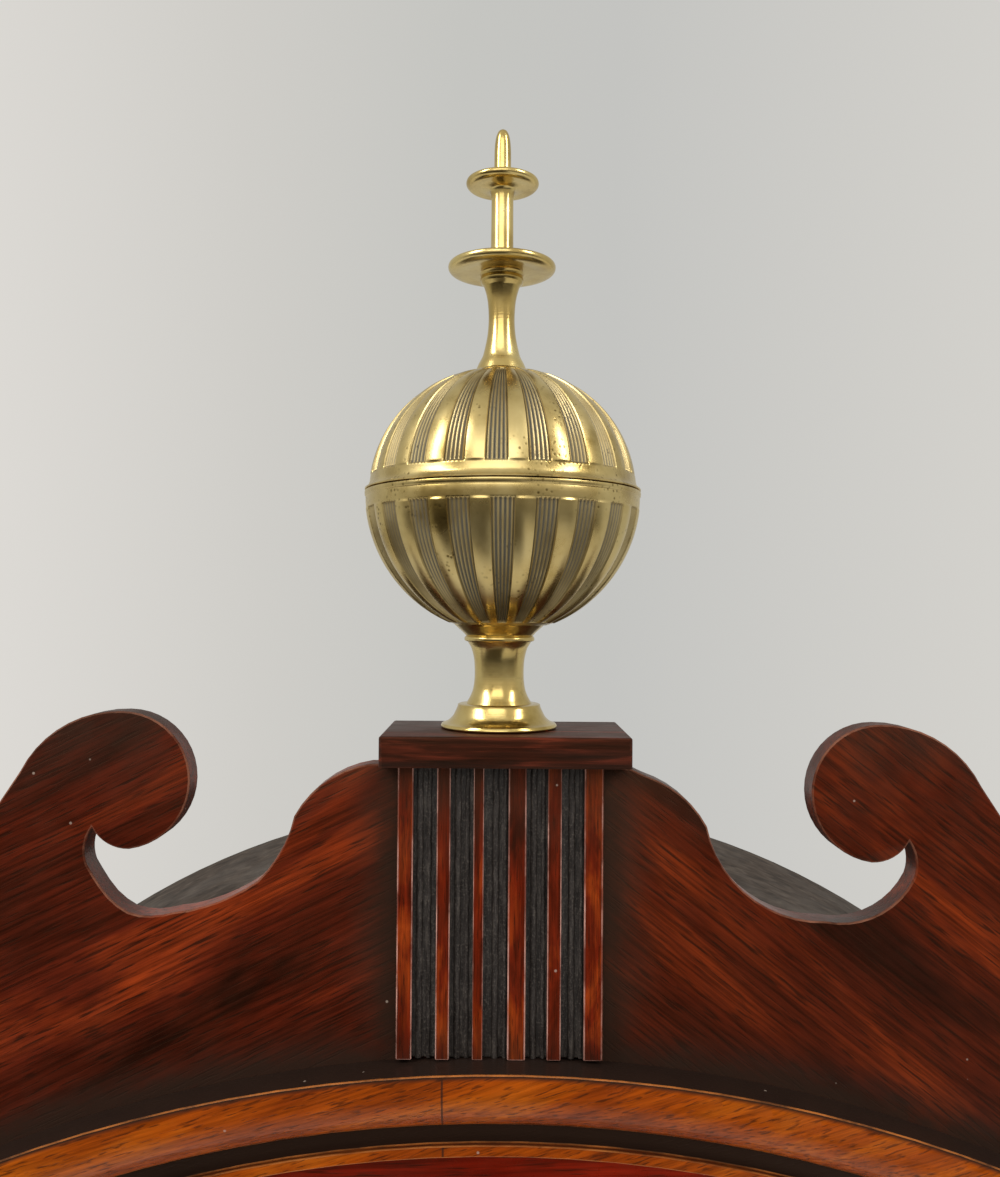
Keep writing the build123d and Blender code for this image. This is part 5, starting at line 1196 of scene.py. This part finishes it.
# floor, backdrop light and camera
def addStudio():
    studio = {"floorRadius": 5.0, "fill": 0.62, "leftWatts": 15, "rightWatts": 10, "frontWatts": 16,
              "floorGlow": 0.35, "lampAim": Vector((0, -0.05, 1.95))}
    bpy.ops.mesh.primitive_circle_add(vertices=96, radius=studio["floorRadius"], fill_type="NGON")
    floor = bpy.context.object
    floor.name = "floorPaper"
    paper, mix, where = startFinish("palePaper")
    shade = mix.span(mix.noise(where, 3.0), 0.0, 1.0, 0.74, 0.8)
    pale = mix.add("ShaderNodeCombineColor", {0: shade, 1: shade, 2: shade})[0]
    # painted reflection: only in polish, the floor ahead shows dark, standing in for an unlit room a few steps in
    # front of the clock, with a lighter part at the right
    place = mix.split(where)
    ahead = mix.span(place["Y"], -2.0, -0.9, 1.0, 0.0, "SMOOTHSTEP")
    aside = mix.span(place["X"], 0.5, 1.2, 1.0, 0.0, "SMOOTHSTEP")
    inPolish = mix.add("ShaderNodeLightPath")["Is Glossy Ray"]
    paintedDarkReflection = mix.maths("MULTIPLY", mix.maths("MULTIPLY", ahead, aside), inPolish)
    tone = mix.blend(paintedDarkReflection, pale, "#3B352B")
    mix.surface({"Base Color": tone, "Roughness": 0.9, "Emission Color": tone,
                 "Emission Strength": studio["floorGlow"]})
    floor.data.materials.append(paper)
    world = bpy.data.worlds.new("paleStudio")
    bpy.context.scene.world = world
    world.use_nodes = True
    world.node_tree.nodes.clear()
    sky = Mixer(world.node_tree)
    path = sky.add("ShaderNodeLightPath")
    seen = sky.maths("MAXIMUM", path["Is Camera Ray"], path["Is Transmission Ray"])
    axes = sky.split(sky.add("ShaderNodeTexCoord")["Object"])
    # the paper behind is lit from both sides: palest at the left, greyest behind the finial
    paperTone = sky.ramp(sky.span(axes["X"], -0.42, 0.42), (0.0, "#DCD9D4"), (0.24, "#CFCDC8"),
                         (0.46, "#C5C5C1"), (0.62, "#C4C4C1"), (1.0, "#D3D1CC"))
    # what polish sees: a dim room ahead, a light ceiling, the paper behind
    aheadTone = sky.ramp(sky.span(axes["Z"], -0.4, 0.4), (0.0, "#1C1A17"), (0.35, "#6E6A62"),
                         (0.55, "#BDB8AE"), (1.0, "#DEDAD0"))
    roomTone = sky.blend(sky.span(axes["Y"], -0.35, 0.15), aheadTone, "#C6C6C1")
    fillTone = sky.blend(path["Is Glossy Ray"], "#E6E2DC", roomTone)
    level = sky.span(sky.maths("MAXIMUM", seen, path["Is Glossy Ray"]), 0.0, 1.0, studio["fill"], 1.0)
    colour = sky.blend(seen, fillTone, paperTone)
    light = sky.add("ShaderNodeBackground", {"Color": colour, "Strength": level})[0]
    sky.add("ShaderNodeOutputWorld", {"Surface": light})
    lamps = [
        ("leftWindow", (-1.2, -0.75, 3.05), (0.45, 0.9), studio["leftWatts"]),
        ("rightWindow", (1.2, -0.75, 3.0), (0.35, 0.8), studio["rightWatts"]),
        ("frontCeiling", (-0.3, -2.3, 3.4), (2.0, 1.2), studio["frontWatts"]),
    ]
    for name, spot, size, watts in lamps:
        lamp = bpy.data.lights.new(name, "AREA")
        lamp.shape = "RECTANGLE"
        lamp.size, lamp.size_y = size
        lamp.energy = watts
        stand = bpy.data.objects.new(name, lamp)
        stand.location = spot
        stand.rotation_euler = (studio["lampAim"] - Vector(spot)).to_track_quat("-Z", "Y").to_euler()
        bpy.context.scene.collection.objects.link(stand)


def addCamera():
    view = {"lens": 32.67, "distance": 233.3 * mm, "rise": 25.7 * mm, "tiltUp": 1.13, "roll": 0.4,
            "aside": -0.45 * mm}
    camera = bpy.data.cameras.new("crestCamera")
    camera.lens = view["lens"]
    camera.sensor_width = 36.0
    camera.clip_start = 0.02
    holder = bpy.data.objects.new("crestCamera", camera)
    holder.location = (view["aside"], finialY - view["distance"], finialZ + view["rise"])
    tilt = Matrix.Rotation(radians(90 + view["tiltUp"]), 4, "X")
    holder.rotation_euler = (tilt @ Matrix.Rotation(radians(view["roll"]), 4, "Z")).to_euler()
    bpy.context.scene.collection.objects.link(holder)
    bpy.context.scene.camera = holder


addStudio()
addCamera()
bpy.context.scene.view_settings.view_transform = "Standard"
print("studio and camera set")
